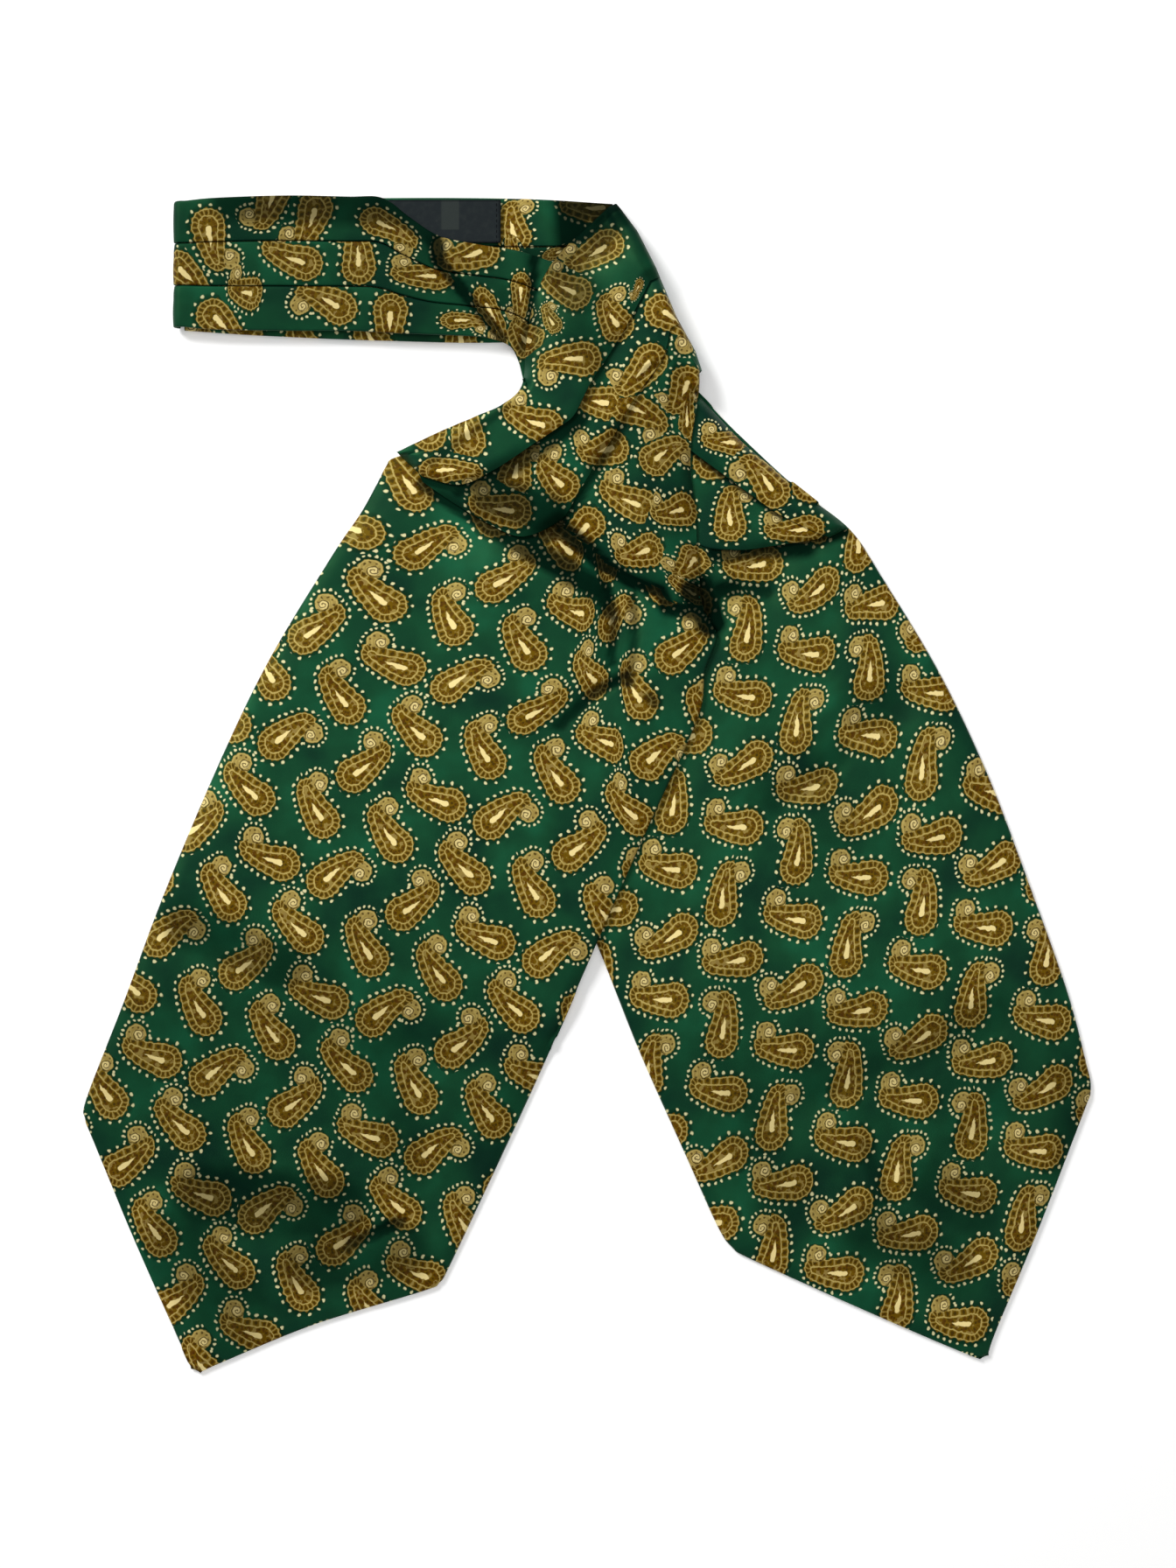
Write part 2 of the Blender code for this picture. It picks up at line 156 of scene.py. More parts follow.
# The print on the blades: paisleys in two rows of three, repeated over the cloth. Along and
# across are where the paisley's middle lies in the repeat, turn is the way from head to tail,
# and long and wide are its size beside the full one; wide is negative in a mirrored paisley.
REPEAT_ALONG = 70.0
REPEAT_ACROSS = 58.0
Paisley = namedtuple("Paisley", "along across turn long wide", defaults=(1.0, 1.0))
REPEATED = rows_of(Paisley, [
    (0, 0, 21),
    (0, -29, 103),
    (23.5, 10.2, 108),
    (24.3, -20.1, 15, 1, -1),
    (46.5, -12.4, 120),
    (44.5, 16.5, 143),
])

# Where the cloth is pleated or crushed the repeat is broken up, so each face of it has its own
# paisleys, with their heads' centres at x and y. A row starts with the faces that it is printed
# on. In the charts each face lies apart from the others, by its number times this.
FACES_APART = 1000.0
Motif = namedtuple("Motif", "faces x y turn long wide", defaults=(1.0, 1.0))
FIRST_PLEAT, SECOND_PLEAT, THIRD_PLEAT, LOWER_FACE = 0, 1, 2, 3
BAND_CHART = rows_of(Motif, [
    ("01", -150, 220.5, 278, 1, -1),
    ("0", -124, 234.5, 255, 0.9),
    ("0", -107.5, 227.5, 252),
    ("0", -83.5, 222, 335, 1, 0.8),
    ("1", -162, 204, 317),
    ("1", -111.5, 205.5, 163),
    ("1", -90.5, 204, 92, 1, -1),
    ("12", -132.5, 193.5, 170, 0.55),
    ("2", -98, 188, 150, 1, -1),
    ("2", -78, 187, 268),
    ("2", -148, 185, 315),
    ("12", -59.5, 200.5, 180, 1, 0.8),
    ("01", -41.5, 210.5, 200),
    ("2", -53, 183, 0, 0.8, 0.5),
    ("12", -40.5, 190, 300, 1, 0.6),
    ("012", -26.5, 196.5, 270, 0.8, 0.6),
    ("2", -23, 174, 140, 0.6),
    ("3", -29, 216, 104, 0.8),
    ("3", 7, 228, 180),
    ("3", -13, 210, 15, 0.8, 0.35),
    ("3", -29, 205, 100, 0.9, 0.5),
    ("3", -84, 173, 120),
    ("3", -50, 172.5, 95),
])


def operator(operation, reflected=False):
    """A method that adds this Math node, for an operator or for its reflected form."""
    def method(shade, other):
        values = (other, shade) if reflected else (shade, other)
        return shade.node("ShaderNodeMath", {"operation": operation}, dict(enumerate(values)))
    return method


class Shade:
    """An output of a shader node that takes Python's arithmetic."""

    def __init__(self, tree, socket):
        self.tree = tree
        self.socket = socket

    def node(self, kind, settings, inputs, output=0):
        """A new node: its settings first, then values or links for its sockets."""
        made = self.tree.nodes.new(kind)
        for name, value in settings.items():
            setattr(made, name, value)
        for key, value in inputs.items():
            if isinstance(value, Shade):
                self.tree.links.new(value.socket, made.inputs[key])
            else:
                made.inputs[key].default_value = value
        return Shade(self.tree, made.outputs[output])

    def maths(self, operation, *others):
        values = dict(enumerate((self, *others)))
        return self.node("ShaderNodeMath", {"operation": operation}, values)

    def vector(self, operation, *others, output=0):
        values = dict(enumerate((self, *others)))
        return self.node("ShaderNodeVectorMath", {"operation": operation}, values, output)

    def parts(self):
        split = self.tree.nodes.new("ShaderNodeSeparateXYZ")
        self.into(split, 0)
        return [Shade(self.tree, output) for output in split.outputs]

    def into(self, node, key):
        self.tree.links.new(self.socket, node.inputs[key])

    def noise(self, scale, detail, output=0):
        inputs = {"Vector": self, "Scale": scale, "Detail": detail}
        return self.node("ShaderNodeTexNoise", {}, inputs, output)

    def mixed(self, other, share, kind="RGBA"):
        """This colour or vector, going over to the other where share is 1."""
        first, second, result = {"RGBA": (6, 7, 2), "VECTOR": (4, 5, 1)}[kind]
        inputs = {0: share, first: self, second: other}
        return self.node("ShaderNodeMix", {"data_type": kind}, inputs, result)

    def towards(self, other, share):
        """This value, going over to the other where share is 1."""
        return self + (other - self) * share

    def step(self, start, end):
        """0 up to start and 1 from end on, smooth between them."""
        settings = {"interpolation_type": "SMOOTHSTEP"}
        return self.node("ShaderNodeMapRange", settings, {0: self, 1: start, 2: end})

    def at_least(self, low):
        return self.maths("MAXIMUM", low)

    def at_most(self, high):
        return self.maths("MINIMUM", high)

    def from_whole(self):
        """How far this value is from the nearest whole number."""
        return self.maths("PINGPONG", 0.5)

    __add__ = operator("ADD")
    __radd__ = operator("ADD", reflected=True)
    __sub__ = operator("SUBTRACT")
    __rsub__ = operator("SUBTRACT", reflected=True)
    __mul__ = operator("MULTIPLY")
    __rmul__ = operator("MULTIPLY", reflected=True)
    __truediv__ = operator("DIVIDE")
    __rtruediv__ = operator("DIVIDE", reflected=True)
    __lt__ = operator("LESS_THAN")
    __gt__ = operator("GREATER_THAN")


def painted(tree, name, output="Vector"):
    """What the mesh says under that name at each place."""
    return Shade(tree, None).node("ShaderNodeAttribute", {"attribute_name": name}, {}, output)


FULL_TURN = 2 * math.pi
GROUND = (0.0045, 0.047, 0.0215, 1.0)
GROUND_TEAL = (0.001, 0.013, 0.012, 1.0)
GROUND_LIT = (0.006, 0.085, 0.04, 1.0)
GROUND_SHADOW = (0.0005, 0.004, 0.0025, 1.0)
CREAM = (0.50, 0.37, 0.11, 1.0)
DOT_CREAM = (0.72, 0.66, 0.36, 1.0)
DROP_CREAM = (0.88, 0.70, 0.30, 1.0)
OCHRE = (0.15, 0.071, 0.0, 1.0)
BROWN = (0.045, 0.013, 0.0, 1.0)
RUST = (0.09, 0.022, 0.0, 1.0)
GLEAM = (0.3, 1.0, 0.3, 1.0)

# One paisley, in millimetres from its head's centre along its axis: a round head tapers to a
# tail, and the tail bends down and curls up into a snail.
HEAD = 6.8
TAIL = 4.1
LENGTH = 14.4
BEND_START = 5.0
BEND = 0.0125
MIDDLE = (7.5, -1.6)
SNAIL = (14.2, -6.7)
SNAIL_RADIUS = 3.9
CURL = (12.9, -6.9)  # the snail's innermost curl, a small disc
CURL_RADIUS = 1.5
CURL_PITCH = 1.2  # from one turn of its spiral to the next
SNAIL_BLEND = 1.2  # how softly the tail runs into the snail
HALO = 1.6  # distance of the halo's dots from the outline
HALO_DOT = 0.6
HALO_DENSITY = 0.25  # dots to a millimetre at the head's side
HALO_GAIN = 0.014  # what each millimetre along the side adds to that
HALO_CLOSING = 10.0  # how far along the side the halo's dots go on closing up
HEAD_DOTS = 3.5  # dots of the halo from the head's front to its side
SNAIL_DOTS = 17
SNAIL_DOT = 0.52
SNAIL_DOT_PITCH = 2.1
NET_PITCH = 3.4
NET_DEPTH = 1.55  # how far inside the outline the middles of the net's holes lie
NET_HOLE = 0.74
NET_LINES = ((0.1, 0.5, 0.2), (2.65, 3.15, 0.15))  # from, to and how soft
LOOP = 0.28  # how far each loop of the net stands out
HEAD_LOOPS = 5.0  # loops of the net from the head's front to its side
SNAIL_LOOPS = 8
SNAIL_DEPTH = 1.15
SNAIL_HOLE = 0.42
SNAIL_HOLE_PITCH = 2.2
DROP_START = 1.3  # the pale drop in the middle, which narrows to a point
DROP_LENGTH = 7.2
DROP_RADIUS = 1.0
OVAL = (0.66, 1.0, 1.0)  # a paisley reaches farther along its axis than across it
WOBBLE = (1.3, 1.3, 0.0)  # how far the hand of the printer strays


def charted(motifs, *faces):
    """The paisleys of some faces of a chart, by their middles."""
    rows = []
    for motif in motifs:
        angle = math.radians(motif.turn)
        on = MIDDLE[0] * motif.long
        aside = MIDDLE[1] * motif.wide
        along = motif.x + on * math.cos(angle) - aside * math.sin(angle)
        across = motif.y + on * math.sin(angle) + aside * math.cos(angle)
        for face in faces:
            if str(face) in motif.faces:
                place = (along, across + face * FACES_APART)
                rows.append(Paisley(*place, motif.turn, motif.long, motif.wide))
    return rows


def nearest_paisley(cloth, paisleys):
    """The place in the nearest paisley: along its axis from the head's centre, and across."""
    half = (REPEAT_ALONG / 2, REPEAT_ACROSS / 2, 1.0)
    low = tuple(-value for value in half)
    best_place = None
    for row in paisleys:
        away = cloth.vector("SUBTRACT", (row.along, row.across, 0.0))
        if paisleys is REPEATED:
            away = away.vector("WRAP", half, low)
        settings = {"rotation_type": "Z_AXIS"}
        turned = {"Vector": away, "Angle": -math.radians(row.turn)}
        place = away.node("ShaderNodeVectorRotate", settings, turned)
        if (row.long, row.wide) != (1.0, 1.0):
            place = place.vector("MULTIPLY", (1 / row.long, 1 / row.wide, 1.0))
        reach = place.vector("MULTIPLY", OVAL).vector("LENGTH", output=1)
        if best_place is None:
            best_place, best_reach = place, reach
            continue
        best_place = best_place.mixed(place, reach < best_reach, "VECTOR")
        best_reach = reach.at_most(best_reach)
    along, across, unused = best_place.parts()
    return along + MIDDLE[0], across + MIDDLE[1]


def length_of(run, rise):
    return (run * run + rise * rise).maths("SQRT")


def dot_row(phase, away, pitch, radius, soft=0.22):
    """A row of round dots, one to each whole phase: 1 inside them."""
    return 1 - length_of(phase.from_whole() * pitch, away).step(radius - soft, radius + soft)


def reach_from(along, across, centre):
    """How far each place is from a centre, and which way it lies from there."""
    side = along - centre[0]
    rise = across - centre[1]
    return length_of(side, rise), rise.maths("ARCTAN2", side)


def band(depth, start, end, soft=0.2):
    """1 between two depths inside an outline."""
    return depth.step(start - soft, start + soft) * (1 - depth.step(end - soft, end + soft))


def layered(place, first, others):
    """A colour, with the others laid over it one after another where their shares say."""
    colour = place.node("ShaderNodeRGB", {}, {})
    colour.socket.default_value = first
    for paint, share in others:
        colour = colour.mixed(paint, share)
    return colour


def paisley_colours(cloth, paisleys):
    """The printed colour over the cloth, drawn from the outlines of the nearest paisley."""
    wobble = cloth.noise(0.5, 1.0, 1).vector("SUBTRACT", (0.5, 0.5, 0.5))
    strayed = cloth.vector("ADD", wobble.vector("MULTIPLY", WOBBLE))
    along, across = nearest_paisley(strayed, paisleys)

    past = (along - BEND_START).at_least(0.0)
    aside = across + past * past * BEND
    beside = aside.maths("ABSOLUTE")
    lean = (HEAD - TAIL) / LENGTH
    upright = math.sqrt(1 - lean * lean)
    run = along * upright - beside * lean
    off = along * lean + beside * upright
    beyond = (run - LENGTH * upright).at_least(0.0)
    tail_off = off - HEAD + TAIL
    from_head = length_of(run.at_most(0.0), off) - HEAD
    from_tail = length_of(beyond, tail_off) - TAIL
    outside_body = from_head.towards(from_tail, beyond > 0.0)

    snail_reach, snail_turn = reach_from(along, across, SNAIL)
    outside_snail = snail_reach - SNAIL_RADIUS
    on_snail = outside_snail < outside_body
    off_snail = 1 - on_snail
    outside = outside_snail.maths("SMOOTH_MIN", outside_body, SNAIL_BLEND)
    depth = outside * -1

    round_head = run.maths("ARCTAN2", off).at_most(0.0)
    round_tail = beyond.maths("ARCTAN2", tail_off.at_least(0.001)) * (TAIL + HALO)
    side = run.at_least(0.0) - beyond + round_tail
    front = math.pi / 2 + math.asin(lean)
    late = (side - HALO_CLOSING).at_least(0.0)
    crowding = side * side - late * late
    beside_head = round_head * (HEAD_DOTS / front) + side * HALO_DENSITY
    halo_phase = beside_head + crowding * (HALO_GAIN / 2)
    halo_pitch = 1 / (HALO_DENSITY + HALO_GAIN * (side - late))
    halo_body = dot_row(halo_phase, outside_body - HALO, halo_pitch, HALO_DOT)
    snail_phase = snail_turn * (SNAIL_DOTS / FULL_TURN)
    halo_snail = dot_row(snail_phase, outside_snail - HALO, SNAIL_DOT_PITCH, SNAIL_DOT)
    halo = halo_body.towards(halo_snail, on_snail)

    net = round_head * (HEAD_LOOPS / front) + side / NET_PITCH
    holes_body = dot_row(net, outside_body + NET_DEPTH, NET_PITCH, NET_HOLE)
    snail_net = snail_turn * (SNAIL_LOOPS / FULL_TURN)
    holes_snail = dot_row(snail_net, outside_snail + SNAIL_DEPTH, SNAIL_HOLE_PITCH, SNAIL_HOLE)
    holes = holes_body.towards(holes_snail, on_snail)
    lines = band(depth, *NET_LINES[0]) + band(depth, *NET_LINES[1])
    beside_spoke = (net + 0.5).from_whole() * NET_PITCH
    spokes = (1 - beside_spoke.step(0.2, 0.6)) * band(depth, 0.3, 3.0)
    lines = (lines + spokes * 0.55).at_most(1.0)

    curl_reach, curl_turn = reach_from(along, across, CURL)
    curl = 1 - curl_reach.step(CURL_RADIUS, CURL_RADIUS + 0.5)
    coil = curl_reach - curl_turn * (CURL_PITCH / FULL_TURN)
    coil = band(coil, 0.5, 0.95, 0.15) + band(coil, 0.5 + CURL_PITCH, 0.95 + CURL_PITCH, 0.15)

    stipple = cloth.node("ShaderNodeTexVoronoi", {}, {"Vector": cloth, "Scale": 0.62})
    field = depth.step(3.0, 3.4) * off_snail
    patches = dot_row(net * 1.15, depth - 4.1, NET_PITCH / 1.15, 0.75, 0.4) * off_snail

    start = along - DROP_START
    narrowing = start.at_least(0.0) / DROP_LENGTH
    drop_side = DROP_RADIUS * (1 - narrowing * narrowing)
    outside_drop = length_of(start.at_most(0.0), aside) - drop_side

    cloud = cloth.noise(0.03, 3.0)
    looped = depth + (net * FULL_TURN).maths("COSINE") * LOOP * off_snail
    body = looped.step(-0.3, 0.1)
    return layered(cloth, GROUND, [
        (GROUND_TEAL, cloud.step(0.42, 0.72) * 0.9),
        (GROUND_LIT, 1 - cloud.step(0.26, 0.5)),
        (GROUND_SHADOW, (1 - outside.step(0.6, 2.6)) * 0.6),
        (DOT_CREAM, halo),
        (OCHRE, body),
        (BROWN, (1 - stipple.step(0.25, 0.45)) * field * 0.8),
        (RUST, patches * body * 0.8),
        (CREAM, stipple.step(0.66, 0.74) * field * 0.4),
        (CREAM, lines * body * 0.9),
        (CREAM, on_snail * body * 0.55),
        (BROWN, holes * body * 0.85),
        (DROP_CREAM, curl * 0.7),
        (BROWN, coil * on_snail * body * 0.85),
        (DROP_CREAM, 1 - outside_drop.step(-0.15, 0.2)),
    ])


TWILL_PITCH = 0.55
DARKEST_PAINTED_SHADE = 0.96  # how dark the painted shade makes the silk at its darkest, in the hollows under its folds


def printed_silk(name, paisleys):
    """Fine silk twill with a soft satin sheen, printed over a deep green ground."""
    finish, shader = new_finish(name, {
        "Sheen Weight": 0.03,
        "Sheen Roughness": 0.4,
        "Sheen Tint": GLEAM,
        "Specular IOR Level": 0.2,
        "Specular Tint": GLEAM,
    })
    tree = finish.node_tree
    cloth = painted(tree, "cloth")
    paisley_colours(cloth, paisleys).into(shader, "Base Color")
    # Painted shade: where the mesh's painted shade says, the silk goes over to a near-black shader
    # without shine, darkest in the hollows under its folds.
    lit = Shade(tree, shader.outputs["BSDF"])
    unlit = {"Base Color": GROUND_SHADOW, "Roughness": 1.0, "Specular IOR Level": 0.0}
    dark = cloth.node("ShaderNodeBsdfPrincipled", {}, unlit)
    ways = {0: painted(tree, "painted_shade", "Fac") * DARKEST_PAINTED_SHADE, 1: lit, 2: dark}
    cloth.node("ShaderNodeMixShader", {}, ways).into(tree.nodes["Material Output"], "Surface")
    (0.36 + cloth.noise(0.06, 2.0) * 0.2).into(shader, "Roughness")
    along, across, unused = cloth.parts()
    ribs = ((along + across) * (FULL_TURN / TWILL_PITCH)).maths("SINE")
    weave = {"Height": ribs, "Distance": 0.00003, "Strength": 0.5}
    cloth.node("ShaderNodeBump", {}, weave).into(shader, "Normal")
    return finish


silk = printed_silk("printed_silk", REPEATED)
lower_silk = printed_silk("printed_silk_lower_pass", charted(BAND_CHART, LOWER_FACE))


def fine_rungs(rungs, step):
    """Rungs at most a step apart, on smooth curves through the given ones."""
    ends = np.array(rungs, float)
    middles = (ends[:, :2] + ends[:, 2:]) / 2
    ends = np.vstack([2 * ends[0] - ends[1], ends, 2 * ends[-1] - ends[-2]])
    made = []
    for index in range(len(rungs) - 1):
        before, start, end, after = ends[index : index + 4]
        cuts = max(1, math.ceil(np.linalg.norm(middles[index + 1] - middles[index]) / step))
        for share in np.arange(cuts) / cuts:
            point = 2 * start + (end - before) * share
            point = point + (2 * before - 5 * start + 4 * end - after) * share**2
            point = point + (3 * start - before - 3 * end + after) * share**3
            made.append(point / 2)
    made.append(ends[-2])
    return np.array(made)


def cad_surface(*nodes):
    """The CAD nodes' surface, in millimetres, to be measured from above or below."""
    points = []
    faces = []
    for node in nodes:
        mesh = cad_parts[node].data
        start = len(points)
        points += [vertex.co / MM for vertex in mesh.vertices]
        faces += [[start + corner for corner in polygon.vertices] for polygon in mesh.polygons]
    return BVHTree.FromPolygons(points, faces)


HIGH = 60.0


def level_of(surface, x, y, below=False, missed=None):
    """The height of a surface's top, or of its underside, at each place.

    Beside the surface it is the height of the nearest point, or what missed says."""
    start = -HIGH if below else HIGH
    way = Vector((0.0, 0.0, -math.copysign(1.0, start)))
    level = np.empty(x.size)
    for index, (place_x, place_y) in enumerate(zip(x.ravel(), y.ravel())):
        origin = Vector((place_x, place_y, start))
        hit = surface.ray_cast(origin, way)[0]
        if hit is None and missed is None:
            hit = surface.find_nearest(origin)[0]
        level[index] = missed if hit is None else hit.z
    return level.reshape(x.shape)


def softened(field, passes):
    """A field on a grid with its small steps smoothed away."""
    for axis in (0, 1) * passes:
        lines = np.moveaxis(field, axis, 0)
        lines = np.concatenate([lines[:1], lines, lines[-1:]])
        field = np.moveaxis((lines[:-2] + 2 * lines[1:-1] + lines[2:]) / 4, 0, axis)
    return field


def grid_normals(grid):
    along = np.gradient(grid, axis=0)
    across = np.gradient(grid, axis=1)
    normals = np.cross(across, along)
    normals /= np.maximum(np.linalg.norm(normals, axis=-1, keepdims=True), 1e-9)
    return normals


def on_both_sides(field):
    return np.concatenate([field, field])


def cloth_piece(name, grid, cloth, material, nodes, painted_shade=None, patch=None):
    """A shell of cloth under a grid of points, with its print's coordinates and its painted shade.

    A patch is the points that another silk covers, where they lie in its chart, and that silk."""
    rows, columns = grid.shape[:2]
    normals = grid_normals(grid)
    if normals[..., 2].mean() < 0:
        normals = -normals
    points = np.concatenate([grid.reshape(-1, 3), (grid - normals * CLOTH).reshape(-1, 3)])
    index = np.arange(rows * columns).reshape(rows, columns)
    top = np.stack([index[:-1, :-1], index[:-1, 1:], index[1:, 1:], index[1:, :-1]], axis=-1)
    top = top.reshape(-1, 4)
    facing = np.cross(grid[0, 1] - grid[0, 0], grid[1, 0] - grid[0, 0]) @ normals[0, 0]
    if facing < 0:
        top = top[:, ::-1]
    under = top[:, ::-1] + rows * columns
    rim = np.concatenate([index[0, :-1], index[:-1, -1], index[-1, :0:-1], index[:0:-1, 0]])
    after = np.roll(rim, -1)
    sides = np.stack([rim, after, after + rows * columns, rim + rows * columns], axis=-1)
    if facing >= 0:
        sides = sides[:, ::-1]
    mesh = bpy.data.meshes.new(name)
    faces = np.concatenate([top, under, sides])
    mesh.from_pydata((points * MM).tolist(), [], faces.tolist())
    mesh.shade_smooth()
    mesh.materials.append(material)
    places = on_both_sides(cloth.reshape(-1, 2))[faces]
    if patch is not None:
        covered, charted_places, other_silk = patch
        patched = on_both_sides(covered.ravel())[faces].all(axis=1)
        places[patched] = on_both_sides(charted_places.reshape(-1, 2))[faces[patched]]
        mesh.materials.append(other_silk)
        mesh.polygons.foreach_set("material_index", patched.astype(int))
    places = places.reshape(-1, 2)
    layer = mesh.attributes.new("cloth", "FLOAT_VECTOR", "CORNER")
    layer.data.foreach_set("vector", np.column_stack([places, np.zeros(len(places))]).ravel())
    # The shade painted on each point, by which the silk's shader goes dark.
    if painted_shade is not None:
        layer = mesh.attributes.new("painted_shade", "FLOAT", "POINT")
        layer.data.foreach_set("value", on_both_sides(painted_shade.ravel()))
    piece = added(name, mesh)
    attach(piece, "root")
    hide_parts(*nodes)
    laid_cloth.append(BVHTree.FromPolygons(grid.reshape(-1, 3).tolist(), top.tolist()))
    return piece


Lay = namedtuple("Lay", "x y turn")


def on_cloth(x, y, lay):
    """Where each place lies in the print, whose repeat has a corner there and is turned so."""
    angle = math.radians(lay.turn)
    away_x = x - lay.x
    away_y = y - lay.y
    along = away_x * math.cos(angle) + away_y * math.sin(angle)
    across = away_y * math.cos(angle) - away_x * math.sin(angle)
    return np.stack([along, across], axis=-1)


def round_turn(across, start, end, outwards, cuts=7):
    """The points round a fold from one level to another, bulging the way outwards says."""
    middle = (start + end) / 2
    half = (end - start) / 2
    angles = np.radians(np.linspace(-90, 90, cuts))
    reach = across + outwards * abs(half) * np.cos(angles)
    return list(zip(reach, middle + half * np.sin(angles)))


def straight_run(start, end, cuts, crown=0.0):
    """Points from start to end without either, rising by crown between them."""
    shares = np.linspace(0.0, 1.0, cuts + 2)[1:-1]
    run = []
    for share in shares:
        bulge = crown * math.sin(math.pi * share)
        across = start[0] + (end[0] - start[0]) * share
        run.append((across, start[1] + (end[1] - start[1]) * share + bulge))
    return run


def pleat_section(width):
    """The pleated cloth in section, as (across, up), from edge to edge."""
    face = width / PLEATS
    hidden = PLEAT_HIDDEN * face
    low = 0.5
    middle = low + PLEAT_LEVELS
    high = middle + PLEAT_LEVELS
    radius = PLEAT_LEVELS / 2
    line = [(HEM, low)]
    line += round_turn(PLEAT_LEVELS, low, high, -1, 11)
    faces = [0] * len(line)
    for pleat in range(PLEATS):
        edge = (pleat + 1) * face
        if pleat:
            line.append((edge - face + PLEAT_START, low))
            line.append((edge - face + PLEAT_LIP, high - PLEAT_SINK))
            rise = (edge - hidden - radius, high)
            line += straight_run(line[-1], rise, 5, 0.15)
            line.append(rise)
        line += straight_run(line[-1], (edge - radius, high), 9, 0.2)
        line += round_turn(edge - radius, high, middle, 1)
        line += round_turn(edge - hidden + radius, middle, low, -1)
        faces += [pleat] * (len(line) - len(faces))
    line.append((width - PLEAT_LEVELS, low))
    faces.append(PLEATS - 1)
    return np.array(line), np.array(faces)


# Shade painted beside each pleat's edge on a pleated band: how far past the edge it reaches, and
# how dark it is.
PAINTED_SHADE_REACH = 0.9
PLEAT_PAINTED_SHADE = 0.15
CRISP_FROM = 0.25  # where the soft side of a crease's painted shade ends
CRISPNESS = 2.4

# A crease runs from a to b, as deep as its depth or raised where that is negative, and dark is
# how much shade is painted along it; a row of depth 0 paints shade alone. Left and right are its
# widths, and are alike if one is given.
Crease = namedtuple("Crease", "x_a y_a x_b y_b depth dark left right", defaults=(None,))


def unit(value):
    return np.clip(value, 0.0, 1.0)


def crease_relief_and_shade(x, y, creases):
    """The rise of ridges less the depth of troughs, each uneven, and the shade painted at each
    place.
    """
    trough = np.zeros_like(x)
    ridge = np.zeros_like(x)
    painted_shade = np.zeros_like(x)
    for crease in creases:
        along_x = crease.x_b - crease.x_a
        along_y = crease.y_b - crease.y_a
        length = math.hypot(along_x, along_y)
        along = ((x - crease.x_a) * along_x + (y - crease.y_a) * along_y) / length
        across = ((x - crease.x_a) * along_y - (y - crease.y_a) * along_x) / length
        right = crease.left if crease.right is None else crease.right
        width = np.where(across < 0.0, crease.left, right)
        past = np.maximum(np.maximum(-along, along - length), 0.0)
        near = np.exp(-(across**2 + past**2) / width**2)
        trough = np.maximum(trough, crease.depth * near)
        ridge = np.maximum(ridge, -crease.depth * near)
        crisp = unit((near - CRISP_FROM) * CRISPNESS)
        painted_shade = np.maximum(painted_shade, crease.dark * (near + (crisp - near) * crease.dark))
    return ridge - trough, painted_shade


def band_painted_shade(grid):
    """The shade painted on each point of a pleated band's grid, darkest at each pleat's edge and
    fading past it.
    """
    width = np.linalg.norm(grid[:, -1, :2] - grid[:, 0, :2], axis=-1)[:, None]
    across = np.linalg.norm(grid[..., :2] - grid[:, :1, :2], axis=-1)
    painted_shade = np.zeros(across.shape)
    for pleat in range(1, PLEATS):
        beyond = across - width * pleat / PLEATS
        near = np.exp(-((np.maximum(beyond, 0.0) / PAINTED_SHADE_REACH) ** 2))
        painted_shade = np.maximum(painted_shade, PLEAT_PAINTED_SHADE * near * (beyond > -0.1))
    return painted_shade


def pleated_band(rungs, base=None):
    """The grid of a pleated band, and the pleat that each of its columns belongs to."""
    ends = fine_rungs(rungs, BAND_STEP)
    rows = []
    for x_a, y_a, x_b, y_b in ends:
        width = math.hypot(x_b - x_a, y_b - y_a)
        line, faces = pleat_section(width)
        share = line[:, 0] / width
        x = x_a + (x_b - x_a) * share
        y = y_a + (y_b - y_a) * share
        rows.append(np.stack([x, y, line[:, 1]], axis=-1))
    grid = np.array(rows)
    if base:
        grid[..., 2] += base(ends, grid)
    return grid, faces


laid_cloth = []


def level_below(x, y):
    """The top of all the cloth laid so far, or the table's top where there is none."""
    levels = [level_of(tree, x, y, missed=0.0) for tree in laid_cloth]
    return np.max([np.zeros_like(x), *levels], axis=0)


# Shade painted on the lower pass near the fold at the throat; none of these rows is a crease.
LOWER_PASS_PAINTED_SHADE = rows_of(Crease, [
    (-7, 236, -5, 214, 0, 0.97, 8, 9),
    (2, 234, 10, 222, 0, 0.97, 10),
    (-23, 209, -8, 209, 0, 0.6, 4),
])


def on_face(plan, face):
    """Where each place of a plan lies in the charts, on that face or on those faces."""
    return np.stack([plan[..., 0], plan[..., 1] + face * FACES_APART], axis=-1)


UNDER_LOOP = -95.0  # the band's other pass hides this one from here to the loop's end
UNDER_BAND = (182.0, 206.0)  # and along this strip
FOLDED_UNDER = 2.3  # and its own pleats hide what lies lower than this
HIDDEN_PRINT = Lay(-120.0, 205.0, 15.0)
band_grid = pleated_band(LOWER_PASS)[0]
band_x, band_y, band_z = np.moveaxis(band_grid, -1, 0)
# Shade painted on the lower pass, from its table and along its pleats' edges.
lower_painted_shade = crease_relief_and_shade(band_x, band_y, LOWER_PASS_PAINTED_SHADE)[1]
hidden = (band_x < UNDER_LOOP) | (band_z < FOLDED_UNDER)
hidden |= (band_y > UNDER_BAND[0]) & (band_y < UNDER_BAND[1])
repeated = on_cloth(band_x, band_y, HIDDEN_PRINT)
lower_pass = cloth_piece(
    "neckband_lower_pass", band_grid, on_face(band_grid, LOWER_FACE), lower_silk,
    ["neckband_back"], painted_shade=np.maximum(lower_painted_shade, band_painted_shade(band_grid)),
    patch=(hidden, repeated, silk)
)

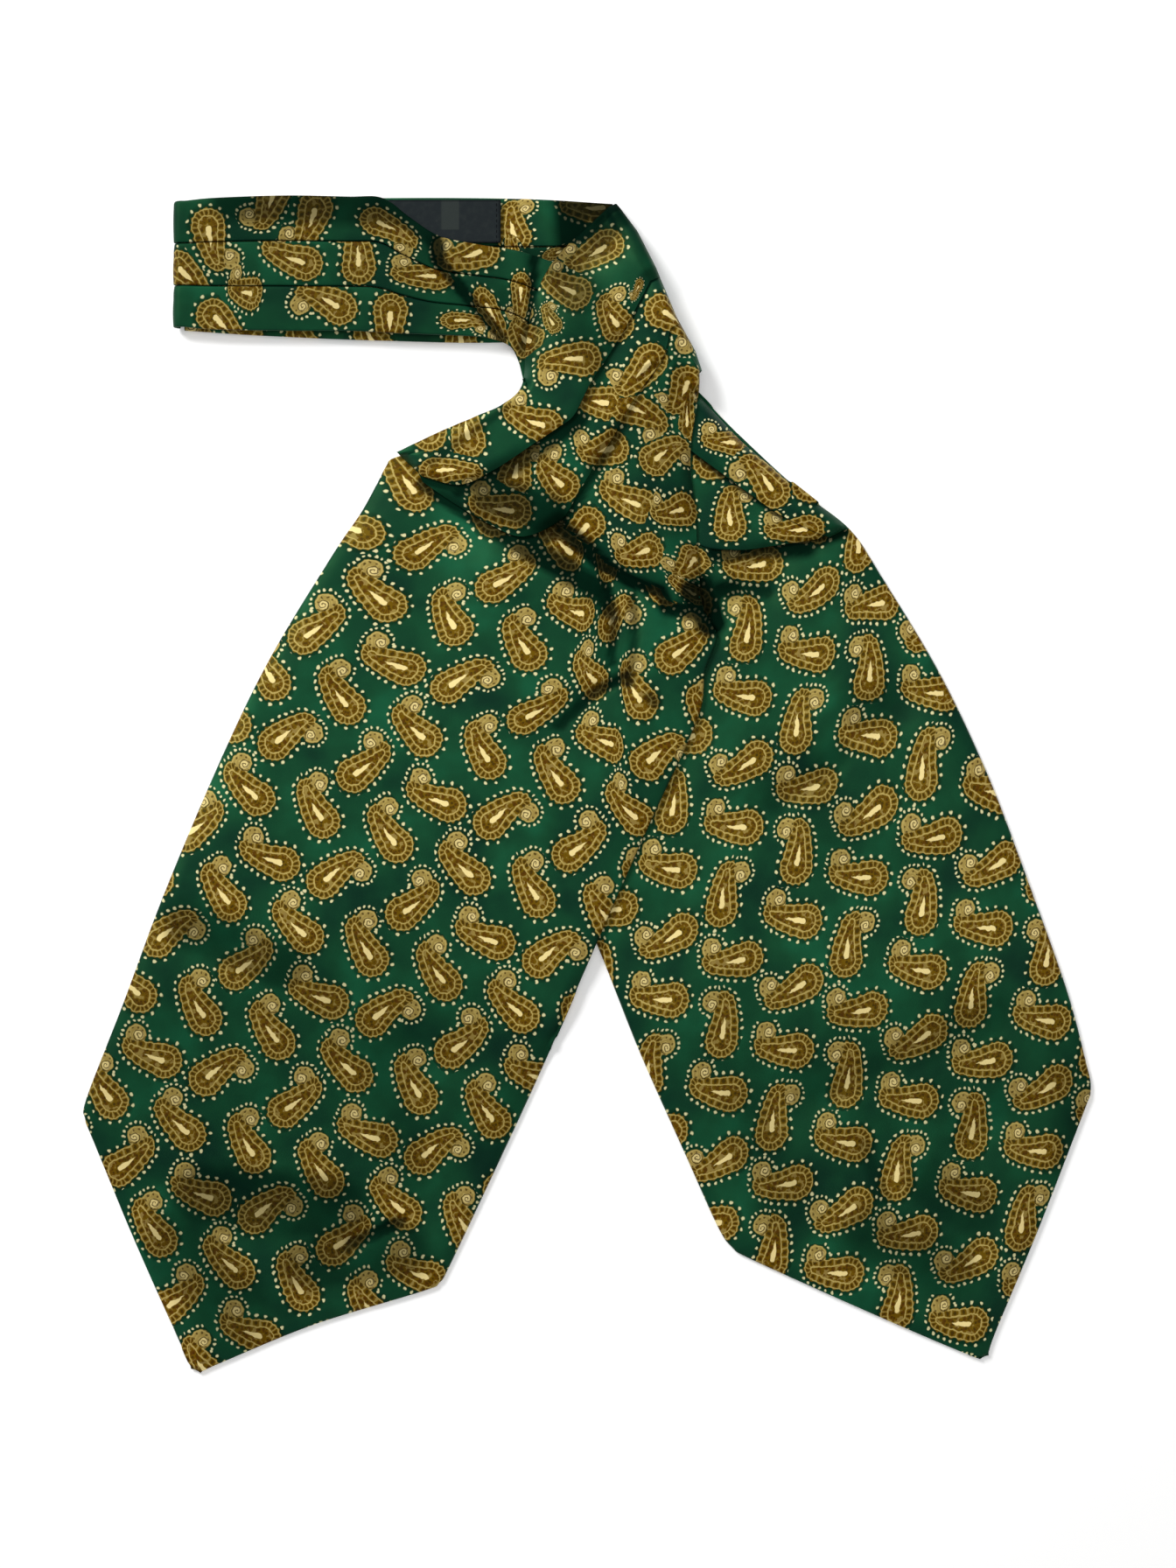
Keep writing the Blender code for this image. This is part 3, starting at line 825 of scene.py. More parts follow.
# Right blade
# The lower of the two blades: a flat bias-cut tube with a pointed end. Its back panel lies on
# the table, and its front panel stands a little off it. Two of the neck's pleats open over it.
Blade = namedtuple("Blade", "tip_x tip_y lean")
RIGHT = Blade(157.0, -227.0, -23.8)
Section = namedtuple("Section", "up left right")
RIGHT_SECTIONS = rows_of(Section, [
    (0, 1.5, 1.5), (8, 10, 9), (36, 36, 38.5), (72, 68.4, 74.5), (80, 73.9, 81.5),
    (90, 75.8, 84), (120, 76, 88.7), (165, 76.2, 92), (210, 74.5, 94.4), (255, 74, 93.2),
    (300, 74, 87.5), (322, 62, 83.5), (345, 46, 71), (375, 28, 58), (396, 17, 50),
    (412, 12, 42),
])
# Creases of the right blade with the shade painted in them; rows of depth 0 paint broad shade
# alone.
RIGHT_CREASES_AND_SHADE = rows_of(Crease, [
    (52, 92.5, 62, 93.5, 0.6, 0.9, 4, 6),
    (62, 93.5, 86, 94.5, 0.9, 0.95, 3, 5.5),
    (86, 94.5, 101, 100, 0.8, 0.9, 2.2, 3.2),
    (60, -95, 185, -110, 0, 0.2, 25, 75),
    (62, -130, 78, -165, 0, 0.36, 16),
    (136, -158, 152, -168, 0, 0.48, 13),
    (112, -178, 142, -190, 0, 0.52, 14),
    (190, -118, 194, -150, 0, 0.36, 12),
    (90, 6, 98, -20, 0, 0.22, 12),
    (45, 78, 50, 64, 1.6, 1, 6),
    (49, 76, 58, 77.5, 1.2, 0.9, 4),
    (58, 77.5, 71, 76, 1, 0.7, 3),
    (28, 117, 42, 96, 0, 0.5, 3),
    (75, -8, 100, 11, 0.7, 0.35, 7, 5),
    (108, 27, 119, 31, 0.7, 0.35, 8),
    (86, -126, 124, -109, 0.8, 0.4, 9, 7),
    (124, -109, 160, -92, 0.7, 0.45, 11, 9),
    (111, -144, 118, -165, 0.9, 0.5, 3, 5),
    (118, -165, 123, -187, 0.7, 0.4, 3, 5),
    (150, -140, 166, -128, 0.5, 0.3, 9),
    (-9, 100, 6, 87, 1.6, 0, 5),
    (6, 87, 29, 76, 1.8, 0, 5),
    (29, 76, 32, 70, 1.8, 0, 5),
])
PANEL_STEP = 1.5
EDGE_LIE = 0.6  # how far a folded edge stands off the cloth that it lies on
EDGE_REACH = 5.0  # how far in from its edge a panel is bent down to lie so
EDGE_ROUND = 1.5
LEAST_GAP = 0.2
ON_CLOTH = 0.5  # where what lies below is lower than this, it is the table
SWELLS_FROM = 9.0  # how far in from the edge the swells have their full height
SWELL = 46.0
RIPPLE = 17.0
RIPPLE_SHARE = 0.22  # a ripple's height beside a swell's
PANEL_COLUMNS = 96
BACK_STEP = 4.0
BACK_COLUMNS = 40


def blade_rungs(blade, sections):
    """A blade's sections as rungs, from its left edge to its right edge."""
    lean = math.radians(blade.lean)
    up = (math.sin(lean), math.cos(lean))
    rungs = []
    for row in sections:
        x = blade.tip_x + up[0] * row.up
        y = blade.tip_y + up[1] * row.up
        left = (x - up[1] * row.left, y + up[0] * row.left)
        right = (x + up[1] * row.right, y - up[0] * row.right)
        rungs.append(Rung(*left, *right))
    return rungs


EDGE_CROWDING = 1.35


def plan_grid(rungs, columns, step):
    """Places over a panel, closer together at its two long edges."""
    rows = fine_rungs(rungs, step)
    angles = np.linspace(-1.0, 1.0, columns + 1)
    shares = (1 + np.sign(angles) * (1 - (1 - np.abs(angles)) ** EDGE_CROWDING)) / 2
    shares = shares[None, :, None]
    return rows[:, None, :2] * (1 - shares) + rows[:, None, 2:] * shares


def gap_to(line, places):
    """The distance of each place from a line through these points."""
    start = line[:-1]
    run = line[1:] - start
    length = np.maximum((run**2).sum(axis=-1), 1e-9)
    away = places[:, None, :] - start[None]
    share = unit((away * run).sum(axis=-1) / length)
    return np.linalg.norm(away - run * share[..., None], axis=-1).min(axis=1)


def from_edge(plan, ends):
    """The distance of each place from the nearest of the panel's free edges."""
    edges = [plan[:, 0], plan[:, -1], *(plan[end] for end in ends)]
    return np.array([np.min([gap_to(edge, row) for edge in edges], axis=0) for row in plan])


def rolled(distance, drop, radius):
    """How far a pressed edge comes down, rounded over its radius."""
    inside = unit(1 - distance / radius)
    return drop * (1 - np.sqrt(np.maximum(1 - inside**2, 0.0)))


WAVES = 9


def soft_waves(x, y, size, height, seed):
    """Uneven swells in the cloth, about that size across."""
    chance = np.random.default_rng(seed)
    field = np.zeros_like(x)
    for count in range(WAVES):
        turn = chance.uniform(0.0, math.pi)
        wave = size * chance.uniform(0.7, 1.6)
        phase = chance.uniform(0.0, FULL_TURN)
        way = x * math.cos(turn) + y * math.sin(turn)
        cross = y * math.cos(turn) - x * math.sin(turn)
        swing = np.sin(FULL_TURN * cross / (wave * 2.3) + phase * 1.7)
        field += np.sin(FULL_TURN * way / wave + phase + 0.8 * swing)
    return field * height / 3


right_rungs = blade_rungs(RIGHT, RIGHT_SECTIONS)
RIGHT_PRINT = Lay(52.0, -41.0, 68.7)
Place = namedtuple("Place", "x y")
RIGHT_STILL = Place(104.0, -61.0)  # the silk is drawn on the bias, away from this place
SHOULDER_FACE, TOP_PLEAT_FACE = 7, 8
SHOULDER_CHART = rows_of(Motif, [
    ("7", 48.2, 127.2, 0),
    ("7", 56.2, 101.8, 94, 0.88, 0.95),
    ("78", 87.1, 100.8, 186, 0.95, 0.8),
    ("7", 38, 108.5, 197, 0.72),
    ("7", 42.5, 89.5, 235, 0.6),
    ("8", 58.6, 134.8, 180, 0.75, 0.75),
    ("8", 73.2, 115.7, 125, 1, -1),
    ("8", 87.4, 118.1, 50),
])
shoulder_silk = printed_silk("printed_silk_shoulder", charted(SHOULDER_CHART, SHOULDER_FACE))
top_silk = printed_silk("printed_silk_top_pleat", charted(SHOULDER_CHART, TOP_PLEAT_FACE))

# The fold that runs in from the shoulder, above which the silk is gathered.
VALLEY = rows_of(Place, [
    (20, 80), (50, 80), (53, 92.5), (62, 93.5), (86, 94.5), (101, 100), (120, 104),
])


def raised(plan, level):
    return np.concatenate([plan, level[..., None]], axis=-1)


def laid_panel(
    name, nodes, rungs, printed, creases, seed, ends=(0,), drop=1.9, swell=0.45,
    columns=PANEL_COLUMNS, step=PANEL_STEP, carried_on=None, cut_from=silk, patched=None
):
    """A panel of cloth that lies where its solid's top is, softer, with its creases and swells."""
    plan = plan_grid(rungs, columns, step)
    x, y = np.moveaxis(plan, -1, 0)
    edge = from_edge(plan, ends)
    solid = level_of(cad_surface(nodes[0]), x, y)
    # The creases' relief, and the shade painted in them.
    relief, painted_shade = crease_relief_and_shade(x, y, creases)
    swells = soft_waves(x, y, SWELL, swell, seed)
    swells = swells + soft_waves(x, y, RIPPLE, swell * RIPPLE_SHARE, seed + 50)
    inner = unit(edge / SWELLS_FROM)
    level = softened(solid, 3) + (softened(solid, 7) - softened(solid, 3)) * inner
    level = level + relief + swells * inner - rolled(edge, drop, EDGE_ROUND)
    below = level_below(x, y)
    lie = unit(1 - edge / EDGE_REACH) ** 2 * (below > ON_CLOTH)
    level += lie * np.minimum(below + CLOTH + EDGE_LIE - level, 0.0)
    grid = raised(plan, np.maximum(level, below + CLOTH + LEAST_GAP))
    if carried_on:
        grid, plan, painted_shade = carried_on(grid, plan, painted_shade)
    patch = patched(plan) if patched else None
    return cloth_piece(name, grid, printed(plan), cut_from, nodes, painted_shade=painted_shade, patch=patch)


def opening_pleat(name, nodes, rungs, face, creases, seed, **ways):
    """One of the neck's pleats where it opens out over a blade, cut from the silk of its face."""
    return laid_panel(
        name, nodes, rungs, lambda plan: on_face(plan, face), creases, seed, ends=(-1,),
        drop=0.9, swell=0.2, step=1.3, **ways
    )


def between(value, start, end):
    """How far a value has come from start to end, as a share."""
    return unit((value - start) / (end - start))


def right_print(plan):
    """The right blade's print, which is drawn to the left at its tip and up below the shoulder."""
    x = plan[..., 0] - RIGHT_STILL.x
    y = plan[..., 1] - RIGHT_STILL.y
    drawn_x = -1.7 - 0.06 * x + 0.085 * np.minimum(y, 130.0)
    drawn_x -= 0.12 * np.maximum(x + 24.0, 0.0) * between(y, 91.0, 131.0)
    lifted = between(x, -12.0, 6.0) * between(y, 41.0, 81.0)
    drawn_y = 0.3 + 0.035 * x + 0.031 * y + 4.5 * lifted
    return on_cloth(plan[..., 0] - drawn_x, plan[..., 1] - drawn_y, RIGHT_PRINT)


def above_line(places, face, other_silk):
    """A patch over what lies above a line through these places, of the silk of that face."""
    def patched(plan):
        line = np.interp(plan[..., 0], *zip(*places))
        return plan[..., 1] > line, on_face(plan, face), other_silk
    return patched


def back_panel(name, node, rungs, printed):
    plan = plan_grid(rungs, BACK_COLUMNS, BACK_STEP)
    level = level_of(cad_surface(node), plan[..., 0], plan[..., 1]) - CLOTH
    return cloth_piece(name, raised(plan, np.maximum(level, CLOTH)), printed(plan), silk, [node])


RIGHT_PLEAT_OUTER = rows_of(Rung, [
    (34.5, 137, 44.5, 153),
    (41.5, 131, 52.8, 144),
    (51, 124, 62, 134.5),
    (64, 114.5, 75.5, 123.3),
    (76.5, 106, 88.5, 113),
    (89, 100, 98, 105.5),
    (95.6, 97.6, 102.4, 101.3),
])
RIGHT_PLEAT_INNER = rows_of(Rung, [
    (28, 117, 41.5, 137),
    (42, 96, 60, 121),
    (58, 92.5, 73, 112.5),
    (75, 94.5, 86, 103.5),
    (91, 97, 97, 99.5),
])
# Creases of the right pleats, with the shade painted in them.
RIGHT_PLEAT_CREASES_AND_SHADE = rows_of(Crease, [
    (34.5, 137, 51, 124, 0.5, 0.95, 2),
    (51, 124, 76.5, 106, 0.5, 0.9, 2),
])
right_back = back_panel("right_blade_back", "blade_right_back", right_rungs, right_print)
right_front = laid_panel(
    "right_blade_front", ["blade_right_front"], right_rungs, right_print, RIGHT_CREASES_AND_SHADE, 3,
    patched=above_line(VALLEY, SHOULDER_FACE, shoulder_silk)
)
right_inner = opening_pleat(
    "right_pleat_lower", ["right_pleat_inner"], RIGHT_PLEAT_INNER, SHOULDER_FACE,
    RIGHT_PLEAT_CREASES_AND_SHADE, 5, columns=24, cut_from=shoulder_silk
)
right_outer = opening_pleat(
    "right_pleat_upper", ["right_pleat_outer"], RIGHT_PLEAT_OUTER, TOP_PLEAT_FACE,
    (), 6, columns=20, cut_from=top_silk
)

# Label
# A small bare label of matt charcoal tape, woven with a paler block at its middle. It lies on
# the pleated neckband beside the throat and is sewn down along its two ends.
LABEL = rows_of(Rung, [(-81, 231, -81, 214), (-34.5, 231, -34.5, 214)])
LABEL_LONG = 46.5
LABEL_WIDE = 17.0
CHARCOAL = (0.0135, 0.0185, 0.0205, 1.0)
CHARCOAL_PALE = (0.03, 0.038, 0.035, 1.0)
CHARCOAL_DARK = (0.002, 0.003, 0.004, 1.0)
BLOCK = (23.0, 30.0)  # where the paler block starts and ends along the tape
BLOCK_DOWN = 12.0
TAPE_RIB = 0.45
TAPE_PICK = 0.6
STITCH_IN = 1.6  # from the tape's end to its row of stitches
STITCH_PITCH = 2.1


def woven_tape():
    """Matt ribbed tape of charcoal yarn, with a paler block and a row of stitches at each end."""
    tape, shader = new_finish("woven_tape", {"Roughness": 0.8, "Specular IOR Level": 0.1})
    place = painted(tape.node_tree, "cloth")
    along, up, unused = place.parts()
    down = up * -1
    ribs = (along * (FULL_TURN / TAPE_RIB)).maths("SINE")
    weave = ribs * (down * (FULL_TURN / TAPE_PICK)).maths("SINE")
    block = band(along, BLOCK[0], BLOCK[1], 0.4) * (1 - down.step(BLOCK_DOWN - 0.4, BLOCK_DOWN))
    selvedge = 1 - down.at_most(LABEL_WIDE - down).step(0.5, 0.9)
    from_end = along.at_most(LABEL_LONG - along)
    beside = (down / STITCH_PITCH).from_whole() * STITCH_PITCH
    stitches = band(from_end, STITCH_IN - 0.2, STITCH_IN + 0.2, 0.1) * (1 - beside.step(0.5, 0.7))
    colour = layered(place, CHARCOAL, [
        (CHARCOAL_PALE, block * 0.85),
        (CHARCOAL_PALE, place.noise(0.35, 3.0).step(0.4, 0.8) * 0.35),
        (CHARCOAL_DARK, (weave < -0.2) * 0.35),
        (CHARCOAL_DARK, selvedge * 0.6),
        (CHARCOAL_DARK, stitches * 0.9),
    ])
    colour.into(shader, "Base Color")
    height = weave * 0.5 - stitches * 1.5
    bump = place.node("ShaderNodeBump", {}, {"Height": height, "Distance": 0.00006})
    bump.into(shader, "Normal")
    return tape


def sewn_label():
    plan = plan_grid(LABEL, 20, 1.5)
    grid = raised(plan, level_of(cad_surface("label"), plan[..., 0], plan[..., 1]))
    return cloth_piece(
        "woven_label", grid, plan - plan[0, 0], woven_tape(), ["label"]
    )


woven_label = sewn_label()

# Neckband, the pass that comes back over it
# The same pleated band is folded round at the loop's end and lies on the lower pass as far as
# the throat, where it turns down. Past the loop it uncovers the label.
UPPER_PASS = rows_of(Rung, [
    (-159.4, 230.5, -159.4, 180.5),
    (-147, 231.7, -147, 179.5),
    (-119, 232.6, -119, 179),
    (-94.5, 232.1, -96, 179),
    (-81, 231.5, -84.5, 178.5),
    (-70.5, 224, -75.5, 178),
    (-58.5, 216.5, -63.5, 177.5),
    (-42.5, 213, -49.5, 177),
    (-29.5, 211, -38.5, 176),
    (-17.5, 207.5, -31, 173),
    (-3, 202, -27.5, 167),
    (12, 191.5, -25.5, 159.5),
    (22, 179.5, -23, 153.5),
    (27, 169.5, -21.5, 148.5),
])
# Creases of the upper pass with the shade painted in them; rows of depth 0 paint shade alone,
# along the band and near the throat.
UPPER_CREASES_AND_SHADE = rows_of(Crease, [
    (-80, 228, -60, 214, 1, 0.8, 4),
    (-60, 214, -59, 206.6, 1.8, 1, 4),
    (-59, 206.6, -49.6, 194.5, 2, 0.95, 3.6, 3),
    (-49.6, 194.5, -39.2, 182.3, 2, 0.9, 3, 2.6),
    (-39.2, 182.3, -34, 176, 2, 0.9, 2.8, 2.6),
    (-27, 213, -24, 187, -0.8, 0, 4),
    (-21, 209, -22.5, 184, 0.8, 0.9, 2.2),
    (-22.5, 184, -26, 172, 0.8, 0.8, 2.5),
    (-138, 233, -74, 231, 0, 0.84, 14),
    (-155, 208, -65, 205, 0, 0.32, 40),
    (-32, 192, -27, 170, 0, 0.45, 6),
])
MIDDLE_LEVEL = 3.75
LOOP_CENTRE = -160.6
LOOP_ROWS = 14
HIDDEN_END = Rung(12.0, 191.5, -25.5, 159.5)  # past this the left blade hides the band
END_PRINT = Lay(0.0, 160.0, -50.0)


def upper_base(ends, grid):
    """The level that the upper pass lies on, from the underside of each pleat's return."""
    surface = cad_surface("neckband_front")
    shares = (np.arange(PLEATS) + 1 - PLEAT_HIDDEN / 2) / PLEATS
    x = ends[:, :1] * (1 - shares) + ends[:, 2:3] * shares
    y = ends[:, 1:2] * (1 - shares) + ends[:, 3:] * shares
    level = level_of(surface, x, y, below=True)
    level = softened(level, 3)
    rows = []
    for row, places in zip(level, grid):
        width = np.linalg.norm(places[-1, :2] - places[0, :2])
        share = np.linalg.norm(places[:, :2] - places[0, :2], axis=-1) / max(width, 1e-9)
        rows.append(np.interp(share, shares, row))
    return np.array(rows)


upper_grid, upper_faces = pleated_band(UPPER_PASS, upper_base)
# The upper pass's creases, and the shade painted in them and along its pleats' edges.
relief, upper_painted_shade = crease_relief_and_shade(upper_grid[..., 0], upper_grid[..., 1], UPPER_CREASES_AND_SHADE)
upper_grid[..., 2] += relief
upper_painted_shade = np.maximum(upper_painted_shade, band_painted_shade(upper_grid))


def round_loop_end(grid, chart, painted_shade):
    """Rows that carry the band round the loop's end to the pass below it."""
    rows = []
    places = []
    start = grid[0]
    height = start[:, 2] - MIDDLE_LEVEL
    for angle in np.radians(np.linspace(160, 6, LOOP_ROWS)):
        row = start.copy()
        row[:, 0] = LOOP_CENTRE - height * math.sin(angle)
        row[:, 2] = MIDDLE_LEVEL + height * math.cos(angle)
        rows.append(row)
        places.append(chart[0] - [1.2 + angle * 3.7, 0.0])
    # The shade painted on the band's end row, carried round the loop.
    painted_shades = np.repeat(painted_shade[:1], LOOP_ROWS, axis=0)
    return [np.concatenate(pair) for pair in ((rows, grid), (places, chart), (painted_shades, painted_shade))]


upper_chart = on_face(upper_grid, upper_faces[None])
upper_grid, upper_chart, upper_painted_shade = round_loop_end(upper_grid, upper_chart, upper_painted_shade)
upper_pleats = charted(BAND_CHART, FIRST_PLEAT, SECOND_PLEAT, THIRD_PLEAT)
upper_silk = printed_silk("printed_silk_upper_pass", upper_pleats)
upper_x, upper_y = np.moveaxis(upper_grid[..., :2], -1, 0)
across_x = (upper_x - HIDDEN_END.x_b) * (HIDDEN_END.y_a - HIDDEN_END.y_b)
across_y = (upper_y - HIDDEN_END.y_b) * (HIDDEN_END.x_a - HIDDEN_END.x_b)
upper_pass = cloth_piece(
    "neckband_upper_pass", upper_grid, upper_chart, upper_silk,
    ["neckband_front", "neckband_turn"], painted_shade=upper_painted_shade,
    patch=(across_x > across_y, on_cloth(upper_x, upper_y, END_PRINT), silk)
)

# Left blade, and the fold at the throat
# The upper blade is a flat bias-cut tube like the right one, crushed where it leaves the throat.
# The band turns back over itself along a diagonal fold, and two of its pleats fan out on it.
LEFT = Blade(-155.1, -232.5, 24.8)
LEFT_SECTIONS = rows_of(Section, [
    (0, 2, 1.5), (8, 11.5, 8.5), (36, 43.5, 34.5), (66, 76, 68), (72, 82, 72.7), (80, 85, 73.6),
    (120, 87.5, 74), (165, 91, 74), (225, 93, 72.7), (270, 92, 72), (318, 86.5, 71.8),
    (336, 83.5, 66.5), (351, 82.5, 65), (357, 82.2, 56.5), (362, 80, 53), (375, 62, 45.5),
    (390, 42, 37.5), (411, 20, 25.5), (434, 4, 18.4),
])
LEFT_BACK_TOP = 362.0
LEFT_THROAT = Rung(29.1, 186.0, 43.9, 162.8)
# Creases of the left blade and its throat with the shade painted in them; rows of depth 0 paint
# broad shade alone, most over the blade's lower part.
LEFT_CREASES_AND_SHADE = rows_of(Crease, [
    (-15.5, 103, -12.8, 106.5, 2, 0.9, 2.2, 2),
    (-12.8, 106.5, -8.7, 100.5, 2.4, 1, 3.6, 4.6),
    (-8.7, 100.5, -0.7, 93.9, 2.4, 1, 3.8, 5.4),
    (-0.7, 93.9, 6.2, 87.3, 2.4, 1, 3.8, 5),
    (6.2, 87.3, 17.7, 80, 2.4, 1, 3.2, 3.8),
    (17.7, 80, 28.8, 76.2, 2.4, 1, 3, 3.2),
    (28.8, 76.2, 31.6, 69.9, 2.2, 0.95, 3),
    (31.6, 69.9, 42, 68, 1.6, 0.95, 3, 4),
    (-47, 108, -25, 93, 0.5, 0.88, 6.5, 4.5),
    (-25, 93, -8, 84, 0.6, 0.92, 6.5, 5),
    (-8, 84, 4, 77, 0.6, 0.92, 6),
    (4, 77, 8, 68, 0.8, 0.9, 3.2, 3.4),
    (28, 160, 30, 100, 0, 0.24, 18, 14),
    (-165, -105, -75, -100, 0, 0.3, 45, 75),
    (-152, -163, -100, -168, 0, 0.72, 16),
    (-131, -158, -113, -166, 0.6, 0.75, 2.2, 5),
    (-105, -85, -95, -100, 0, 0.42, 15),
    (-85, -112, -72, -150, 0, 0.4, 15),
    (-112, -190, -74, -185, 0, 0.64, 13),
    (-162, -180, -140, -208, 0, 0.54, 17),
    (-178, -93, -174, -125, 0, 0.34, 13),
    (-13.9, 95.5, -4.6, 89.9, -0.9, 0, 2.6, 2),
    (-4.6, 89.9, 6.3, 78.6, -1, 0, 2.6, 2),
    (-5, 113, 14, 97, -1.2, 0, 9, 5),
    (14, 97, 30, 86, -1.2, 0, 8, 5),
    (8, 76, 10.5, 66, 1.4, 0.95, 2.2, 2.6),
    (10.5, 66, 9.5, 48, 1.2, 0.8, 2.2, 2.4),
    (18, 75, 18.6, 60, 1.4, 0.7, 2),
    (18.6, 60, 17.7, 46, 1.2, 0.6, 2),
    (15.8, 43.6, 15.9, 40, 1.4, 0.95, 2.6),
    (13.2, 41.5, 2.8, 35.6, 1.4, 0.9, 2.2, 3),
    (2.8, 35.6, -11.1, 22.7, 1, 0.75, 2.2, 3.4),
    (24.5, 34, 26.5, 32, 0.8, 0.75, 2.8),
    (-65.5, 118.5, -53, 110, 0.6, 0.9, 3),
    (-53, 110, -39, 101.5, 0.6, 0.9, 3.2),
    (-39, 101.5, -25.5, 96, 0.7, 0.9, 4.5),
    (-25.5, 96, -13, 100, 0.7, 0.9, 4.5),
    (-9, 105, -2.5, 114.5, 0.6, 0.8, 2.4),
    (-2.5, 114.5, 12, 138, 0.5, 0.7, 2.4),
    (12, 138, 25, 160, 0.3, 0.4, 1.8),
    (41, 76, 48, 63, 0.8, 1, 6),
    (-159, -57, -119, -74, 0.8, 0.62, 12, 10),
    (-146, -162, -112, -168, 0.7, 0.35, 8, 6),
    (-134, -206, -119, -210, 0.6, 0.3, 7, 6),
    (-94.7, -182, -75.6, -173.3, 1, 0.9, 2.4, 4.5),
    (-72, -104, -63.5, -111, 0.7, 0.35, 6),
])
DIAGONAL = rows_of(Place, [
    (45, 163.5), (42.5, 171), (35, 184.5), (27.3, 203), (19.3, 219), (11, 230.3),
])
Profile = namedtuple("Profile", "out height")
TURN = rows_of(Profile, [
    (-2.6, 0.985), (-1.4, 0.93), (-0.7, 0.84), (-0.25, 0.71), (0, 0.48), (-0.2, 0.24),
    (-0.7, 0.08), (-1.3, 0),
])
TURN_OUT = (0.891, 0.453)  # away from the diagonal fold, in plan
TURN_BOTTOM = 0.35


def turned_down(grid, plan, painted_shade, at_end=False):
    """A grid carried on over the diagonal fold and down to the pass that lies below it."""
    order = slice(None, None, -1 if at_end else 1)
    grid = grid[order]
    plan = plan[order]
    painted_shade = painted_shade[order]
    inside = gap_to(np.array(DIAGONAL), grid[0, :, :2])
    rows = []
    places = []
    before = grid[0]
    reached = np.zeros(len(before))
    for step in TURN:
        away = np.maximum(step.out + inside, 0.0)
        row = grid[0].copy()
        row[:, 0] += TURN_OUT[0] * away
        row[:, 1] += TURN_OUT[1] * away
        row[:, 2] = TURN_BOTTOM + (row[:, 2] - TURN_BOTTOM) * step.height
        reached = reached + np.linalg.norm(row - before, axis=-1)
        before = row
        rows.append(row)
        places.append(plan[0] + np.outer(reached, TURN_OUT))
    grid = np.concatenate([rows[::-1], grid])[order]
    plan = np.concatenate([places[::-1], plan])[order]
    # The shade painted on the edge row, carried on down over the fold.
    painted_shade = np.concatenate([np.repeat(painted_shade[:1], len(rows), axis=0), painted_shade])[order]
    return grid, plan, painted_shade


OUTER_FACE, INNER_FACE, SIDE_FACE = 4, 5, 6
THROAT_CHART = rows_of(Motif, [
    ("4", 7.5, 212.5, 214),
    ("4", -4.5, 193, 155, 0.9),
    ("45", 12, 179.5, 125, 0.75),
    ("456", 29, 186, 331),
    ("4", -1.5, 167, 179, 1, -1),
    ("456", 24.5, 166.5, 232),
    ("4", -16.5, 140.5, 162),
    ("4", -47, 135, 100),
    ("4", -62.5, 138, 95),
    ("4", -60, 123.5, 2, 1, 0.75),
    ("4", -22.5, 174, 140, 0.6),
    ("4", -13.5, 180.5, 120, 0.5, 0.5),
    ("4", 20, 196, 250, 0.36, 0.22),
    ("5", 8.5, 149.5, 172, 0.85),
    ("5", -29, 120, 80, 0.8),
    ("5", -9.5, 117, 138, 0.85),
    ("5", -29, 107.5, 174),
    ("56", 10.5, 133, 200, 0.8),
    ("56", 15, 149, 338),
    ("6", 26, 127.5, 38, 0.8),
    ("6", 21, 109.5, 158),
    ("6", 38, 108.5, 197, 0.72),
    ("6", 24.5, 92.5, 200, 0.75),
    ("6", 42.5, 89.5, 235, 0.6),
    ("6", 43, 74.5, 151, 0.72, 0.5),
    ("6", 0.5, 103, 225, 0.9),
    ("6", 39.5, 159, 250, 0.8),
    ("6", 39, 140.5, 90, 1, 0.5),
])
outer_silk = printed_silk("printed_silk_outer_pleat", charted(THROAT_CHART, OUTER_FACE))
inner_silk = printed_silk("printed_silk_inner_pleat", charted(THROAT_CHART, INNER_FACE))
side_silk = printed_silk("printed_silk_throat", charted(THROAT_CHART, SIDE_FACE))

# The deep fold under the throat, which the silk goes down into and comes up out of.
CHANNEL = rows_of(Place, [
    (-40, 300), (-14, 300), (-13.5, 106), (-8.7, 100.5), (-0.7, 93.9), (6.2, 87.3), (17.7, 80),
    (28.8, 76.2), (31.6, 71), (44, 69.5), (70, 69),
])
DRAWN_IN = 6.0  # how much of the silk below the channel is drawn in to its small folds
DRAWN_FROM = 15.0  # how far up the left blade its silk starts to be drawn to the channel
DRAWN_TO = 95.0
LEFT_PRINT = Lay(-97.9, -34.9, 19.5)


def eased(value, start, end):
    """How far a value has come from start to end, smooth at both."""
    share = between(value, start, end)
    return share**2 * (3 - 2 * share)


def left_print(plan):
    """The left blade's print, which is drawn towards the small folds under its throat."""
    x, y = np.moveaxis(plan, -1, 0)
    rise = np.clip(y, DRAWN_FROM, DRAWN_TO) - DRAWN_FROM
    gathered = between(x, -110.0, -70.0) * between(x, 8.0, -5.0)
    at_throat = between(rise, 0.0, 25.0)
    drawn_right = (0.13 * rise + 0.05 * (x + 50.0) * at_throat) * gathered
    drawn_down = (0.045 * rise + 0.03 * (x + 60.0) * at_throat) * gathered
    drawn_in = DRAWN_IN * eased(x, 8.0, 16.0) * eased(y, -30.0, 30.0)
    return on_cloth(x + drawn_in - drawn_right, y + drawn_down, LEFT_PRINT)


